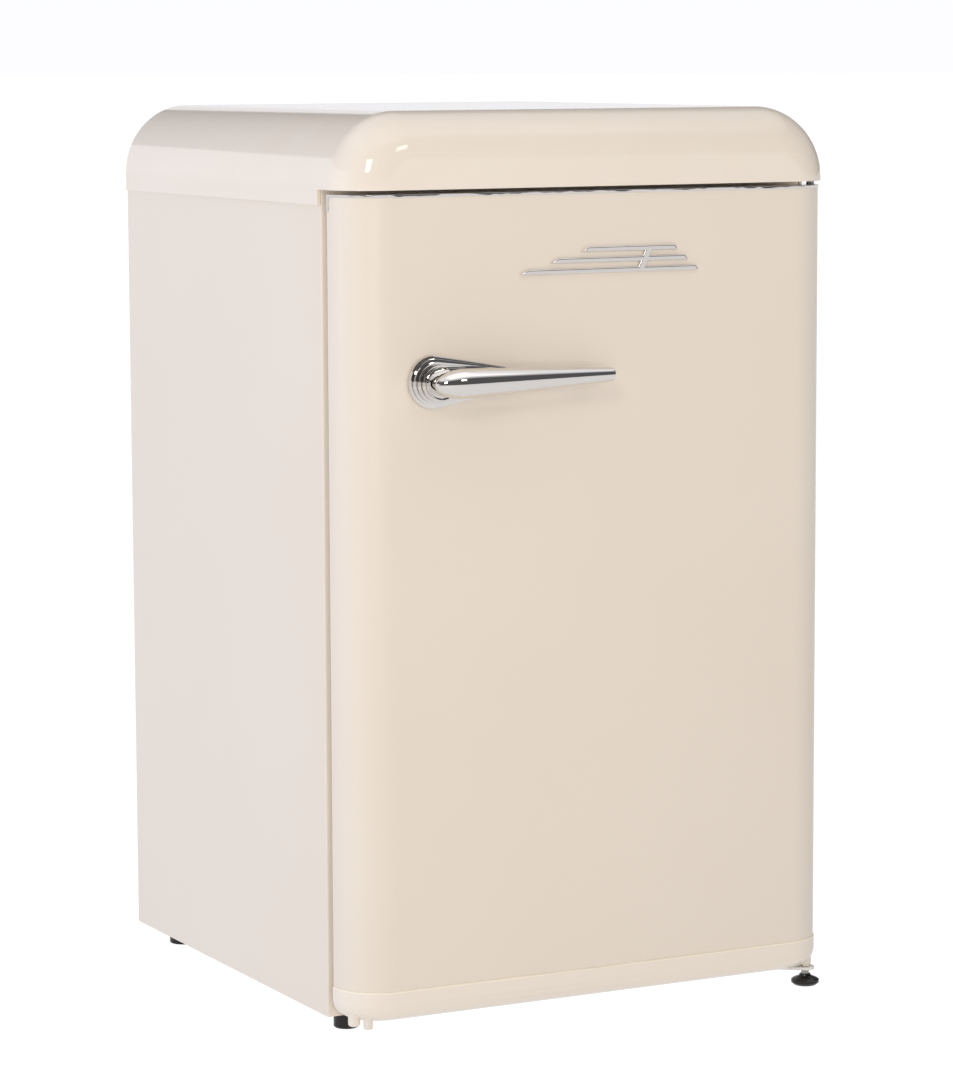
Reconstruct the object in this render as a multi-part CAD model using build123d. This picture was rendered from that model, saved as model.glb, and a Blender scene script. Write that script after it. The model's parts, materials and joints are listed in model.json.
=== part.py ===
from build123d import *
import os
from math import pi, sqrt

# Retro under-counter larder fridge, in millimetres. While it is drawn, X points to the
# right seen from the front, Z up from the floor, and Y = 0 is the plane of the cabinet's
# front flange, with the door at negative Y. The finished parts are moved along Y so that
# the origin lies on the floor under the middle of the whole fridge.

# Cabinet
CABINET_W = 543.0  # over the side panels
CABINET_D = 491.0  # front flange to the side panels' back edge
PANEL_FOOT_Z = 19.5  # lower edge of the side panels above the floor
SOFFIT_Z = 837.0  # underside of the lid's overhang, and top of the cabinet sheet
SHEET = 1.0  # steel sheet
SCREW_R = 1.9
SCREW_HOLE_R = 2.0
SEAT_CLEAR = 0.05  # around what is pushed into a hole and stays there
LINER = 2.0  # vacuum-formed plastic
FOAM_SIDE = 37.5
FOAM_TOP = 38.0
FOAM_FLOOR = 42.0
FOAM_BACK = 40.0
FOAM_HUMP = 45.0
FLANGE_W = 26.5  # front return flange of a side panel
REAR_FLANGE_W = 14.0
REAR_RECESS = 23.0  # rear panel in front of the side panels' back edge
PANEL_BEND_R = 2.0
BASE_Z = 40.0  # floor sheet under the foam
CAVITY_R = 18.0  # rounding of the cavity's long corners
LIP_W = 14.0  # liner's front lip around the cavity

# Compressor bay
BAY_HEADROOM = 32.0  # drip tray to the bay's roof
TRAY_H = 24.0
BAY_DEPTH = 139.0  # from the rear panel forwards
CROSSBAR_Z = 22.0
CROSSBAR_T = 2.0
CROSSBAR_RIM = 8.0  # folded-up edges
CROSSBAR_INSET = 6.0  # from the side panels' back edge
PANEL_HOLE_CLEAR = 0.6  # around a tube that passes through the bay's roof

# Lid
LID_OVERHANG = 3.5  # beyond each side panel
LID_RISE = 75.5  # soffit to the flat top
LID_SHOULDER_R = 72.0
LID_FRONT_R = 46.0
LID_SKIRT = 15.0  # how far the side skirt hangs below the soffit
LID_BACK_SET = 6.0  # lid's back edge in front of the side panels' back edge
LID_WALL = 3.0
LID_CLEAR = 0.4  # slots in the back skirt around the side panels
SOFFIT_T = 2.0
SOFFIT_BACK = 70.0
LID_SCREW_X = 180.0  # each side of the middle

# Door
DOOR_OVERHANG = 1.0  # beyond each side panel
DOOR_FRONT = 68.0  # front of the door ahead of the flange plane
DOOR_GAP = 16.0  # flange plane to the back of the door, where the gasket is
DOOR_CORNER_R = 45.0
DOOR_CROWN = 1.5
DOOR_CAP_Z = 22.5  # underside of the bottom cap
DOOR_SEAM_Z = 54.5  # seam between the skin and the bottom cap
DOOR_TOP_GAP = 4.0  # door top to the lid's soffit
TRIM_H = 3.0
TRIM_PROUD = 0.8
TRIM_LEG_H = 17.0
TRIM_LEG_W = 4.2
CAP_PROUD = 1.0
CAP_EDGE_R = 20.0
CAP_WALL = 2.0
TOP_CAP_DROP = 0.2  # top cap under the trim's upper edge
TRIM_LAP = 0.4  # trim over the skin's edge
DOOR_FOLD_W = 10.5  # skin folded in around the door's back

# Door inner side
GASKET_MARGIN = 25.0  # gasket's outer edge outside the cavity
GASKET_W = 18.0
GASKET_CORNER_R = 9.0
GASKET_CLEAR = 0.3
DYKE_CLEAR = 11.0  # dyke to the cavity walls
DYKE_W = 24.0
DYKE_REACH = 35.0  # dyke's reach behind the flange plane
DYKE_CORNER_R = 14.0

# Hinges
HINGE_INSET = 11.5  # hinge axis inside the door's edge
HINGE_Y = -38.0
PIN_R = 4.0
PIN_CLEAR = 0.05
BUSH_WALL = 2.0
BRACKET_RIM = 2.5  # bracket metal around a pin
BRACKET_T = 2.5
LOWER_BRACKET_Z = 16.5
UPPER_PIN_L = 24.0
BUSH_L = 22.0

# Stop peg under the door's handle side
STOP_INSET = 22.5  # stop peg inside the door's edge
STOP_Y = -47.0
STOP_R = 4.5
STOP_Z = 15.5

# Handle
HANDLE_INSET = 85.5  # rosette's centre from the door's edge
HANDLE_DROP = 181.0  # rosette's centre below the door's top
ROSETTE_R = 25.5
ROSETTE_STEPS = 5
STEP_IN = 2.4
STEP_H = 5.0
TAIL_REACH = 75.0  # from the rosette's centre to its tail's
TAIL_R = 12.0
LEVER_L = 183.0
LEVER_R = 16.5
LEVER_TIP_R = 6.5
LEVER_STAND = 33.0  # lever axis ahead of the door front
LEVER_RISE = 3.0
POST_R = 4.5
HANDLE_SCREW_R = 1.85
HANDLE_SCREW_HEAD_R = 4.0
HANDLE_BAND = 60.0  # height over which the door is cut from the handle, each way
POST_INSET = 16.0

# Ornament on the door
BADGE_X = 9.5
BADGE_DROP = 68.0  # ornament's middle below the door's top
BADGE_W = 203.0
BADGE_H = 26.0
BADGE_T = 2.6
BADGE_BAR_H = 5.0
BADGE_BARS = 3
BADGE_STAGGER = 34.0  # each bar's left end right of the one below
BADGE_TAPER = 12.0  # each bar's right end left of the one below

# Door bins
BIN_DEPTH = 100.0
BIN_WALL = 2.5
BIN_SIDE_GAP = 12.0  # dyke to the bin's side wall, where the lugs are
BIN_FLOOR_RISE = 27.0  # lowest bin above the dyke's lower opening
BIN_LOW_H = 105.0
BIN_H = 75.0
BIN_CORNER_R = 12.0
LUG_W = 10.0
LUG_H = 12.0
LUG_FIT = 0.4
LUG_OUT = 9.0  # how far a lug stands out of the dyke
LUG_BACK = 4.0  # lug's near face behind the flange plane
LUG_DROP = 34.0  # lug's underside below the bin's rim

# Shelves and crisper
GLASS_T = 4.0
SHELF_GAP = 2.0  # glass edge to the liner wall
LEDGE_W = 7.0
LEDGE_H = 6.0
SHELF_FRONT = 104.0
CRISPER_WALL = 2.5
CRISPER_CLEAR = 4.0
CRISPER_RUNNER = 3.0
CRISPER_CORNER_R = 16.0
CRISPER_GRIP = 70.0  # half the grip lip's length

# What the bins hold
RACK_HALF = 98.0
RACK_H = 22.0
RACK_WALL = 2.0
EGG_R = 18.0
EGG_PITCH = 46.0
EGG_ROW_PITCH = 43.0
CLIP_HALF = 9.0
CLIP_GAP = 0.4
CLIP_WALL = 2.0
CLIP_DROP = 22.0
CLIP_FINGER = 62.0  # finger's end behind the bin's front

# Cold circuit
COIL_R = 2.4
COIL_STAND = 26.0
COIL_SPACING = 48.0  # least height between two passes
COIL_INSET = 56.5  # coil inside the side panels
COIL_HEAD = 47.0  # top pass below the lid's soffit
COIL_BEND = 20.0
COIL_LOW = 55.0  # lowest pass above the bay
WIRE_R = 0.8
WIRE_PITCH = 20.0
SPACER_REACH = 12.0  # wall spacer behind the side panels' back edge
PLATE_T = 1.0
COMPRESSOR_X = -70.0
COMPRESSOR_HALF_X = 88.0
COMPRESSOR_HALF_Y = 58.0
COMPRESSOR_H = 139.0
FOOT_PLATE_T = 3.0
GROMMET_R = 11.0
GROMMET_NECK_R = 4.0
TRAY_HALF_X = 76.0
TRAY_HALF_Y = 50.0
TRAY_WALL = 2.0

EVAPORATOR_INSET = 36.0  # cold sheet inside the cavity's side
EVAPORATOR_R = 3.5
DRAIN_X = -40.0
DRAIN_R = 5.0
SUCTION_X = 120.0
SUCTION_R = 3.5
CAPILLARY_OUT = 46.0  # from the dryer to the capillary's riser
CAPILLARY_R = 1.2
DRYER_INSET = 45.5
DRYER_L = 80.0
DRYER_R = 9.0

GLAND_X = 150.0

# Levelling feet
FOOT_R = 14.5
FOOT_HUB_WALL = 1.6
FOOT_HUB_Z = 11.5
FOOT_RIM_Z = 5.5
STUD_END_Z = 8.5
FOOT_BORE_Z = 3.5
LEFT_FOOT_INSET = 33.5
LEFT_FOOT_Y = 28.0
LEFT_FOOT_R = 13.0
LEFT_FOOT_H = 14.5
REAR_FOOT_INSET = 36.5
REAR_FOOT_R = 15.0

# Thermostat and lamp housing
HOUSING_Y = 118.0
HOUSING_L = 145.0
HOUSING_H = 70.0
HOUSING_OUT = 35.0
HOUSING_DROP = 26.0  # ceiling to the housing's top
HOUSING_WALL = 2.5
HOUSING_CORNER_R = 10.0
LAMP_BASE_R = 8.0
LAMP_R = 9.0
LAMP_INSET = 14.0  # lamp's axis from the cavity's wall
KNOB_R = 18.0
KNOB_L = 14.0
KNOB_SHAFT_R = 3.0
SWITCH_R = 3.0
SWITCH_HALF = 8.0  # half the switch body's width

# Places that follow from the sizes above
HALF_W = CABINET_W / 2
LID_W = CABINET_W + 2 * LID_OVERHANG
DOOR_W = CABINET_W + 2 * DOOR_OVERHANG
DOOR_TOP = SOFFIT_Z - DOOR_TOP_GAP
HINGE_X = DOOR_W / 2 - HINGE_INSET
BUSH_R = PIN_R + BUSH_WALL
STOP_X = STOP_INSET - DOOR_W / 2
ROSETTE_X = HANDLE_INSET - DOOR_W / 2
TAIL_X = ROSETTE_X + TAIL_REACH
HANDLE_Z = DOOR_TOP - HANDLE_DROP
BADGE_Z = DOOR_TOP - BADGE_DROP
LEFT_FOOT_X = LEFT_FOOT_INSET - HALF_W
REAR_FOOT_X = HALF_W - REAR_FOOT_INSET
FOOT_HUB_R = PIN_R + FOOT_HUB_WALL
DECK_Z = CROSSBAR_Z + CROSSBAR_T
COMPRESSOR_Z = DECK_Z + 17.0
TRAY_Z = COMPRESSOR_Z + COMPRESSOR_H
BAY_TOP_Z = TRAY_Z + TRAY_H + BAY_HEADROOM
REAR_PANEL_Y = CABINET_D - REAR_RECESS - SHEET
CAVITY_X = HALF_W - SHEET - FOAM_SIDE - LINER
CAVITY_TOP = SOFFIT_Z - SHEET - FOAM_TOP - LINER
CAVITY_FLOOR = BASE_Z + SHEET + FOAM_FLOOR + LINER
CAVITY_BACK = REAR_PANEL_Y - FOAM_BACK - LINER
BAY_Y = REAR_PANEL_Y - BAY_DEPTH
HUMP_Y = BAY_Y - FOAM_HUMP - LINER
HUMP_Z = BAY_TOP_Z + FOAM_HUMP + LINER
LID_TOP = SOFFIT_Z + LID_RISE
TRIM_Z = DOOR_TOP - TRIM_H
PAN_Y = -DOOR_GAP + LINER  # the door liner's face towards the cabinet
DYKE_X = CAVITY_X - DYKE_CLEAR
DYKE_Z = (CAVITY_FLOOR + DYKE_CLEAR + 2, CAVITY_TOP - DYKE_CLEAR - 2)
BIN_X = DYKE_X - DYKE_W - BIN_SIDE_GAP
BIN_BACK = PAN_Y + 4.0
BIN_FRONT = BIN_BACK + BIN_DEPTH
COVER_Z = HUMP_Z  # underside of the glass over the crisper
SHELF_PITCH = (CAVITY_TOP - COVER_Z - GLASS_T) / 3
SHELF_ZS = {
    "lower": COVER_Z + GLASS_T + SHELF_PITCH,
    "upper": COVER_Z + GLASS_T + 2 * SHELF_PITCH,
}
SHELF_BACK = CAVITY_BACK - 10.0
SHELF_X = CAVITY_X - SHELF_GAP
BIN_PITCH = (DYKE_Z[1] - DYKE_Z[0] - DYKE_W) / 3
BIN_ZS = {
    "lower": DYKE_Z[0] + BIN_FLOOR_RISE,
    "middle": DYKE_Z[0] + BIN_FLOOR_RISE + BIN_PITCH,
    "upper": DYKE_Z[0] + BIN_FLOOR_RISE + 2 * BIN_PITCH,
}
BIN_HEIGHTS = {"lower": BIN_LOW_H, "middle": BIN_H, "upper": BIN_H}
LID_SCREW_XS = (-LID_SCREW_X, LID_SCREW_X)
LID_SCREW_Z = SOFFIT_Z - LID_SKIRT / 2
COIL_Y = REAR_PANEL_Y + SHEET + COIL_STAND
COIL_Z = BAY_TOP_Z + COIL_LOW
COIL_RISE = SOFFIT_Z - COIL_HEAD - COIL_Z
COIL_PASSES = 2 * int(COIL_RISE / (2 * COIL_SPACING)) + 1
COIL_PITCH = COIL_RISE / (COIL_PASSES - 1)
COIL_HALF = HALF_W - COIL_INSET
HOUSING_Z = CAVITY_TOP - HOUSING_DROP - HOUSING_H
HOUSING_X = CAVITY_X - HOUSING_OUT
KNOB_Y = HOUSING_Y + 36.0
KNOB_Z = HOUSING_Z + HOUSING_H / 2
LAMP_X = CAVITY_X - LAMP_INSET
SWITCH_Z = CAVITY_TOP - 46.0
SWITCH_X = CAVITY_X - DYKE_CLEAR - SWITCH_HALF
COMPRESSOR_Y = REAR_PANEL_Y - 62.0
DRYER_X = DRYER_INSET - HALF_W
CAPILLARY_X = DRYER_X + CAPILLARY_OUT
EVAPORATOR_X = CAVITY_X - EVAPORATOR_INSET
DRYER_Y = REAR_PANEL_Y - 14.0
DRYER_Z = (COMPRESSOR_Z + 75, COMPRESSOR_Z + 75 + DRYER_L)
EVAPORATOR_TUBE_Y = CAVITY_BACK + LINER + PLATE_T + EVAPORATOR_R
EVAPORATOR_Z = (HUMP_Z + 45.0, CAVITY_TOP - 40.0)
DRAIN_Z = HUMP_Z + 16.0
LEVER_Y = -DOOR_FRONT - LEVER_STAND
REAR_REACH = CABINET_D + SPACER_REACH
FRONT_REACH = LEVER_Y - LEVER_R
SHIFT_Y = -(REAR_REACH + FRONT_REACH) / 2


# Drawing helpers


def block(x, y, z):
    """Box over three (low, high) spans."""
    spans = (x, y, z)
    middle = [(low + high) / 2 for low, high in spans]
    return Pos(*middle) * Box(*[high - low for low, high in spans])


def upright(x, y, z, radius):
    """Vertical cylinder over the span z."""
    return Pos(x, y, (z[0] + z[1]) / 2) * Cylinder(radius, z[1] - z[0])


def rod_y(x, y, z, radius):
    """Cylinder along Y over the span y."""
    return Pos(x, (y[0] + y[1]) / 2, z) * Rot(90, 0, 0) * Cylinder(radius, y[1] - y[0])


def rod_x(x, y, z, radius):
    """Cylinder along X over the span x."""
    return Pos((x[0] + x[1]) / 2, y, z) * Rot(0, 90, 0) * Cylinder(radius, x[1] - x[0])


def both_sides(shape):
    """The shape and its mirror image in the plane X = 0."""
    return shape + mirror(shape, about=Plane.YZ)


def group(shapes):
    """Separate solids that share one node."""
    return Compound([solid for shape in shapes for solid in shape.solids()])


def edges_at(shape, axis, points):
    """Edges along an axis that pass through the given points of the plane across it."""
    across = {Axis.X: (1, 2), Axis.Y: (0, 2), Axis.Z: (0, 1)}[axis]
    found = []
    for edge in shape.edges().filter_by(axis):
        middle = tuple(edge.center())
        for point in points:
            if max(abs(middle[i] - point[n]) for n, i in enumerate(across)) < 0.05:
                found.append(edge)
    return found


def rounded(shape, axis, points, radius):
    """Round the edges along an axis at the given points of the plane across it."""
    return fillet(edges_at(shape, axis, points), radius)


def pipe(points, bend, radius):
    """Round tube, drawn solid, along straight runs joined by bends."""
    path = FilletPolyline(*points, radius=bend)
    section = Plane(origin=path @ 0, z_dir=path % 0) * Circle(radius)
    return sweep(section, path=path)


def screw(x, y, z, length, up=True):
    """Pan-head screw with its head's seat at z; the head is above when up is true."""
    way = 1 if up else -1
    head = upright(x, y, sorted((z, z + way * 2.4)), 3.6)
    shank = upright(x, y, sorted((z - way * length, z)), SCREW_R)
    return head + shank


# Door plan: straight sides, round corners and a slightly crowned front


def door_plan(inset=0.0, back=-DOOR_GAP):
    """Plan face of the door, shrunk by inset on its front and sides."""
    half = DOOR_W / 2
    crown_half = half - DOOR_CORNER_R
    crown_r = crown_half**2 / (2 * DOOR_CROWN) + DOOR_CROWN / 2
    crown_y = crown_r - DOOR_FRONT
    corner_y = crown_y - sqrt((crown_r - DOOR_CORNER_R) ** 2 - crown_half**2)
    corner = Vector(crown_half, corner_y)
    away = (corner - Vector(0, crown_y)).normalized()
    turn = (away + Vector(1, 0)).normalized()
    radius = DOOR_CORNER_R - inset
    side = half - inset
    meet = corner + away * radius
    knee = corner + turn * radius
    front = Vector(0, inset - DOOR_FRONT)
    outline = [
        Line((-side, back), (side, back)),
        Line((side, back), (side, corner_y)),
        ThreePointArc((side, corner_y), knee, meet),
        ThreePointArc(meet, front, (-meet.X, meet.Y)),
        ThreePointArc((-meet.X, meet.Y), (-knee.X, knee.Y), (-side, corner_y)),
        Line((-side, corner_y), (-side, back)),
    ]
    return make_face(outline)


def door_prism(z, inset=0.0, back=-DOOR_GAP):
    """The door's plan raised over the span z."""
    return Pos(0, 0, z[0]) * extrude(door_plan(inset, back), z[1] - z[0])


def front_y(x):
    """The crowned door front's place at a distance x from the middle."""
    crown_half = DOOR_W / 2 - DOOR_CORNER_R
    crown_r = crown_half**2 / (2 * DOOR_CROWN) + DOOR_CROWN / 2
    return crown_r - DOOR_FRONT - sqrt(crown_r**2 - x**2)


def behind_front(x, z):
    """Everything behind the plane that touches the crowned front in the middle of x."""
    middle = (x[0] + x[1]) / 2
    slope = (front_y(middle + 1) - front_y(middle - 1)) / 2
    reach = (x[1] - x[0]) / 2
    ends = [front_y(middle) - slope * reach, front_y(middle) + slope * reach]
    outline = Polyline(
        (x[0], ends[0]), (x[1], ends[1]), (x[1], -DOOR_GAP), (x[0], -DOOR_GAP), close=True
    )
    return Pos(0, 0, z[0]) * extrude(make_face(outline), z[1] - z[0])


# Cabinet shell


def cross_sheet(back, z):
    """Sheet between the side panels, clear of the bends at their front flanges."""
    inside = HALF_W - SHEET
    centre = HALF_W - FLANGE_W
    sheet = block((-inside, inside), (PANEL_BEND_R, back), z)
    return sheet + block((-centre, centre), (SHEET, back), z)


def right_side_panel():
    """Sheet steel side with a return flange at the front and at the back."""
    span_z = (PANEL_FOOT_Z, SOFFIT_Z)
    outer = block((HALF_W - FLANGE_W, HALF_W), (0, CABINET_D), span_z)
    outer = rounded(outer, Axis.Z, [(HALF_W, 0), (HALF_W, CABINET_D)], PANEL_BEND_R)
    inside = HALF_W - SHEET
    inner = block((HALF_W - FLANGE_W - 1, inside), (SHEET, CABINET_D - SHEET), span_z)
    inner = rounded(
        inner, Axis.Z, [(inside, SHEET), (inside, CABINET_D - SHEET)], PANEL_BEND_R - SHEET
    )
    rear_trim = block(
        (HALF_W - FLANGE_W - 1, HALF_W - REAR_FLANGE_W), (SHEET, CABINET_D + 1), span_z
    )
    return outer - inner - rear_trim


def top_panel():
    """Sheet that closes the foam under the lid, folded down above the opening."""
    sheet = cross_sheet(REAR_PANEL_Y, (SOFFIT_Z - SHEET, SOFFIT_Z))
    half = HALF_W - FLANGE_W
    sheet += block((-half, half), (0, SHEET), (CAVITY_TOP + LIP_W, SOFFIT_Z))
    for x, y in upper_screw_places():
        sheet -= upright(x, y, (SOFFIT_Z - 2, SOFFIT_Z + 1), SCREW_HOLE_R)
    return sheet


def bottom_front_rail():
    """Steel angle across the bottom front, with the left foot's welded nut."""
    half = HALF_W - FLANGE_W
    high = CAVITY_FLOOR - LIP_W
    face = block((-half, half), (0, SHEET), (PANEL_FOOT_Z, high))
    leg = cross_sheet(46, (PANEL_FOOT_Z, PANEL_FOOT_Z + SHEET))
    flats = Pos(LEFT_FOOT_X, LEFT_FOOT_Y, PANEL_FOOT_Z + SHEET) * RegularPolygon(PIN_R + BRACKET_RIM, 6)
    rail = face + leg + extrude(flats, 6.0)
    rail -= upright(LEFT_FOOT_X, LEFT_FOOT_Y, (PANEL_FOOT_Z - 1, BASE_Z), PIN_R)
    for x, y in lower_screw_places():
        rail -= upright(x, y, (PANEL_FOOT_Z - 1, PANEL_FOOT_Z + 2), SCREW_HOLE_R)
    return rail


def bay_panel():
    """Folded sheet under the foam: cabinet floor, then the bay's front wall and roof."""
    inside = HALF_W - SHEET
    floor = cross_sheet(BAY_Y, (BASE_Z, BASE_Z + SHEET))
    wall = block((-inside, inside), (BAY_Y, BAY_Y + SHEET), (BASE_Z, BAY_TOP_Z))
    roof = block((-inside, inside), (BAY_Y + SHEET, REAR_PANEL_Y), (BAY_TOP_Z - SHEET, BAY_TOP_Z))
    return floor + wall + roof - group(foam_tubes(PANEL_HOLE_CLEAR))


def rear_panel():
    """Sheet behind the foam, above the compressor bay."""
    inside = HALF_W - SHEET
    return block(
        (-inside, inside), (REAR_PANEL_Y, REAR_PANEL_Y + SHEET), (BAY_TOP_Z - SHEET, SOFFIT_Z)
    )


def cavity(grow=0.0):
    """The cold space, or with grow the liner's outer form."""
    half = CAVITY_X + grow
    z = (CAVITY_FLOOR - grow, CAVITY_TOP + grow)
    space = block((-half, half), (0, CAVITY_BACK + grow), z)
    corners = [(x, height) for x in (-half, half) for height in z]
    space = rounded(space, Axis.Y, corners, CAVITY_R + grow)
    hump = block((-half, half), (HUMP_Y + grow, CAVITY_BACK + grow), (z[0], HUMP_Z - grow))
    return space - hump


def shelf_ledges():
    """Moulded ledges that carry the shelves and the crisper's cover."""
    ledges = []
    for z in (COVER_Z, *SHELF_ZS.values()):
        back = HUMP_Y if z == COVER_Z else SHELF_BACK
        ledges.append(
            block((CAVITY_X - LEDGE_W, CAVITY_X + LINER / 2), (SHELF_FRONT, back), (z - LEDGE_H, z))
        )
    return both_sides(sum(ledges[1:], ledges[0]))


def inner_liner():
    """White formed liner with its front lip, shelf ledges and drain hole."""
    half = CAVITY_X + LIP_W
    lip = block((-half, half), (0, LINER), (CAVITY_FLOOR - LIP_W, CAVITY_TOP + LIP_W))
    shell = cavity(LINER) + lip - cavity() - block((-half, half), (-1, 0), (0, SOFFIT_Z))
    shell += shelf_ledges()
    drain_y = (CAVITY_BACK - 1, CAVITY_BACK + LINER + 1)
    return shell - rod_y(DRAIN_X, drain_y, DRAIN_Z, DRAIN_R + SEAT_CLEAR)


def cabinet_foam():
    """Polyurethane foam between the liner and the steel."""
    inside = HALF_W - SHEET
    fill = block((-inside, inside), (LINER, REAR_PANEL_Y), (BASE_Z + SHEET, SOFFIT_Z - SHEET))
    bay = block((-inside, inside), (BAY_Y, REAR_PANEL_Y), (BASE_Z, BAY_TOP_Z))
    cooler = block(
        (-EVAPORATOR_X, EVAPORATOR_X),
        (CAVITY_BACK + LINER, EVAPORATOR_TUBE_Y + EVAPORATOR_R),
        (EVAPORATOR_Z[0], EVAPORATOR_Z[1]),
    )
    fill = fill - bay - cavity(LINER) - cooler
    return fill - group(foam_tubes(SEAT_CLEAR))


# Lid


def lid_form(inset):
    """The lid's rounded form above the soffit, shrunk by inset except underneath."""
    half = LID_W / 2 - inset
    top = LID_TOP - inset
    radius = LID_SHOULDER_R - inset
    front = -DOOR_FRONT + inset
    back = CABINET_D - LID_BACK_SET - inset
    bend = radius * (1 - sqrt(0.5))
    outline = [
        Line((-half, SOFFIT_Z), (half, SOFFIT_Z)),
        Line((half, SOFFIT_Z), (half, top - radius)),
        ThreePointArc((half, top - radius), (half - bend, top - bend), (half - radius, top)),
        Line((half - radius, top), (radius - half, top)),
        ThreePointArc((radius - half, top), (bend - half, top - bend), (-half, top - radius)),
        Line((-half, top - radius), (-half, SOFFIT_Z)),
    ]
    form = extrude(Plane.XZ.offset(-back) * make_face(outline), back - front)
    rim = [
        edge
        for edge in form.faces().sort_by(Axis.Y)[0].edges()
        if edge.center().Z > SOFFIT_Z + 0.1
    ]
    return fillet(rim, LID_FRONT_R - inset)


def top_lid():
    """One moulded lid with side skirts and a closed back, open underneath."""
    half = LID_W / 2
    back = CABINET_D - LID_BACK_SET
    skirt_z = (SOFFIT_Z - LID_SKIRT, SOFFIT_Z + 1)
    skirt = block((-half, half), (0, back), skirt_z)
    inner_half = half - LID_WALL
    skirt -= block((-inner_half, inner_half), (-1, back - LID_WALL), (0, SOFFIT_Z + 2))
    panel_x = (HALF_W - SHEET - LID_CLEAR, HALF_W + LID_CLEAR)
    skirt -= both_sides(block(panel_x, (back - LID_WALL - 1, back + 1), (0, SOFFIT_Z)))
    shell = lid_form(0) - lid_form(LID_WALL) + skirt
    for x in LID_SCREW_XS:
        shell -= rod_y(x, (back - LID_WALL - 1, back + 1), LID_SCREW_Z, SCREW_HOLE_R)
    return shell


def lid_soffit():
    """Moulded tray that closes the lid's overhang above the door."""
    slab = block((-LID_W, LID_W), (-LID_W, SOFFIT_BACK), (SOFFIT_Z, SOFFIT_Z + SOFFIT_T))
    tray = slab & lid_form(LID_WALL)
    tray -= upright(HINGE_X, HINGE_Y, (SOFFIT_Z - 1, SOFFIT_Z + 5), PIN_R + SEAT_CLEAR)
    for x, y in upper_screw_places():
        tray -= upright(x, y, (SOFFIT_Z - 1, SOFFIT_Z + 5), SCREW_HOLE_R)
    return tray


def lid_screws():
    """Two screws through the lid's back skirt into the rear panel."""
    back = CABINET_D - LID_BACK_SET
    screws = []
    for x in LID_SCREW_XS:
        head = rod_y(x, (back, back + 2.2), LID_SCREW_Z, 3.8)
        shank = rod_y(x, (REAR_PANEL_Y + SHEET, back), LID_SCREW_Z, SCREW_R)
        screws.append(head + shank)
    return screws


# Hinges and fixings


def upper_screw_places():
    """Three screws that hold the upper hinge bracket."""
    return [(HINGE_X - across, back) for across, back in ((40, 16), (12, 16), (26, 44))]


def lower_screw_places():
    """Three screws that hold the lower hinge bracket."""
    return [(HINGE_X - across, back) for across, back in ((50, 14), (8, 14), (30, 34))]


def upper_hinge_bracket():
    """Steel plate on the cabinet top that carries the upper pin."""
    z = SOFFIT_Z + SOFFIT_T
    nose = Pos(HINGE_X, HINGE_Y) * Circle(PIN_R + BRACKET_RIM)
    left = HINGE_X - 52
    right = HALF_W - 6
    outline = make_hull(
        nose.edges() + Polyline((left, -6), (right, -6), (right, 2), (left, 2), close=True).edges()
    )
    foot = Pos((left + right) / 2, 28) * Rectangle(right - left, 60)
    plate = Pos(0, 0, z) * extrude(outline + foot, BRACKET_T)
    plate -= upright(HINGE_X, HINGE_Y, (z - 1, z + 5), PIN_R)
    for x, y in upper_screw_places():
        plate -= upright(x, y, (z - 1, z + 5), SCREW_HOLE_R)
    return plate


def lower_hinge_bracket():
    """Painted steel plate under the cabinet front that carries the lower pin."""
    z = LOWER_BRACKET_Z
    nose = Pos(HINGE_X, HINGE_Y) * Circle(PIN_R + BRACKET_RIM + 3)
    left = HINGE_X - 62
    right = HALF_W - 2
    outline = make_hull(
        nose.edges() + Polyline((left, -4), (right, -4), (right, 2), (left, 2), close=True).edges()
    )
    foot = Pos((left + right) / 2, 23) * Rectangle(right - left, 46)
    plate = Pos(0, 0, z) * extrude(outline + foot, PANEL_FOOT_Z - z)
    plate -= upright(HINGE_X, HINGE_Y, (z - 1, z + 5), PIN_R)
    for x, y in lower_screw_places():
        plate -= upright(x, y, (z - 1, z + 5), SCREW_HOLE_R)
    return plate


def cabinet_screws():
    """The screws of the two hinge brackets and the lid."""
    upper_z = SOFFIT_Z + SOFFIT_T + BRACKET_T
    grip = BRACKET_T + SOFFIT_T + SHEET
    screws = [screw(x, y, upper_z, grip) for x, y in upper_screw_places()]
    screws += [screw(x, y, LOWER_BRACKET_Z, 9.0, up=False) for x, y in lower_screw_places()]
    return group(screws + lid_screws())


def hinge_pins():
    """Upper pin pressed into its bracket, and the lower stud with the levelling thread."""
    top = SOFFIT_Z + SOFFIT_T + BRACKET_T
    upper = upright(HINGE_X, HINGE_Y, (top - UPPER_PIN_L, top), PIN_R)
    upper += upright(HINGE_X, HINGE_Y, (top, top + 2), PIN_R + 1.5)
    lower = upright(HINGE_X, HINGE_Y, (STUD_END_Z, DOOR_CAP_Z + 20), PIN_R)
    return group([upper, chamfer(lower.edges(), 0.6)])


# Levelling feet and rear feet


def right_front_foot():
    """Black disc with a conical hub that runs on the lower hinge stud."""
    profile = Polyline(
        (0, 0),
        (FOOT_R - 3, 0),
        (FOOT_R, 2.5),
        (FOOT_R, FOOT_RIM_Z),
        (FOOT_R - 2, FOOT_RIM_Z + 1.5),
        (FOOT_HUB_R + 0.8, FOOT_HUB_Z - 2.0),
        (FOOT_HUB_R, FOOT_HUB_Z),
        (0, FOOT_HUB_Z),
        close=True,
    )
    foot = revolve(Plane.XZ * make_face(profile), Axis.Z)
    foot = Pos(HINGE_X, HINGE_Y) * foot
    return foot - upright(HINGE_X, HINGE_Y, (FOOT_BORE_Z, FOOT_HUB_Z + 1), PIN_R + PIN_CLEAR)


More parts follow.
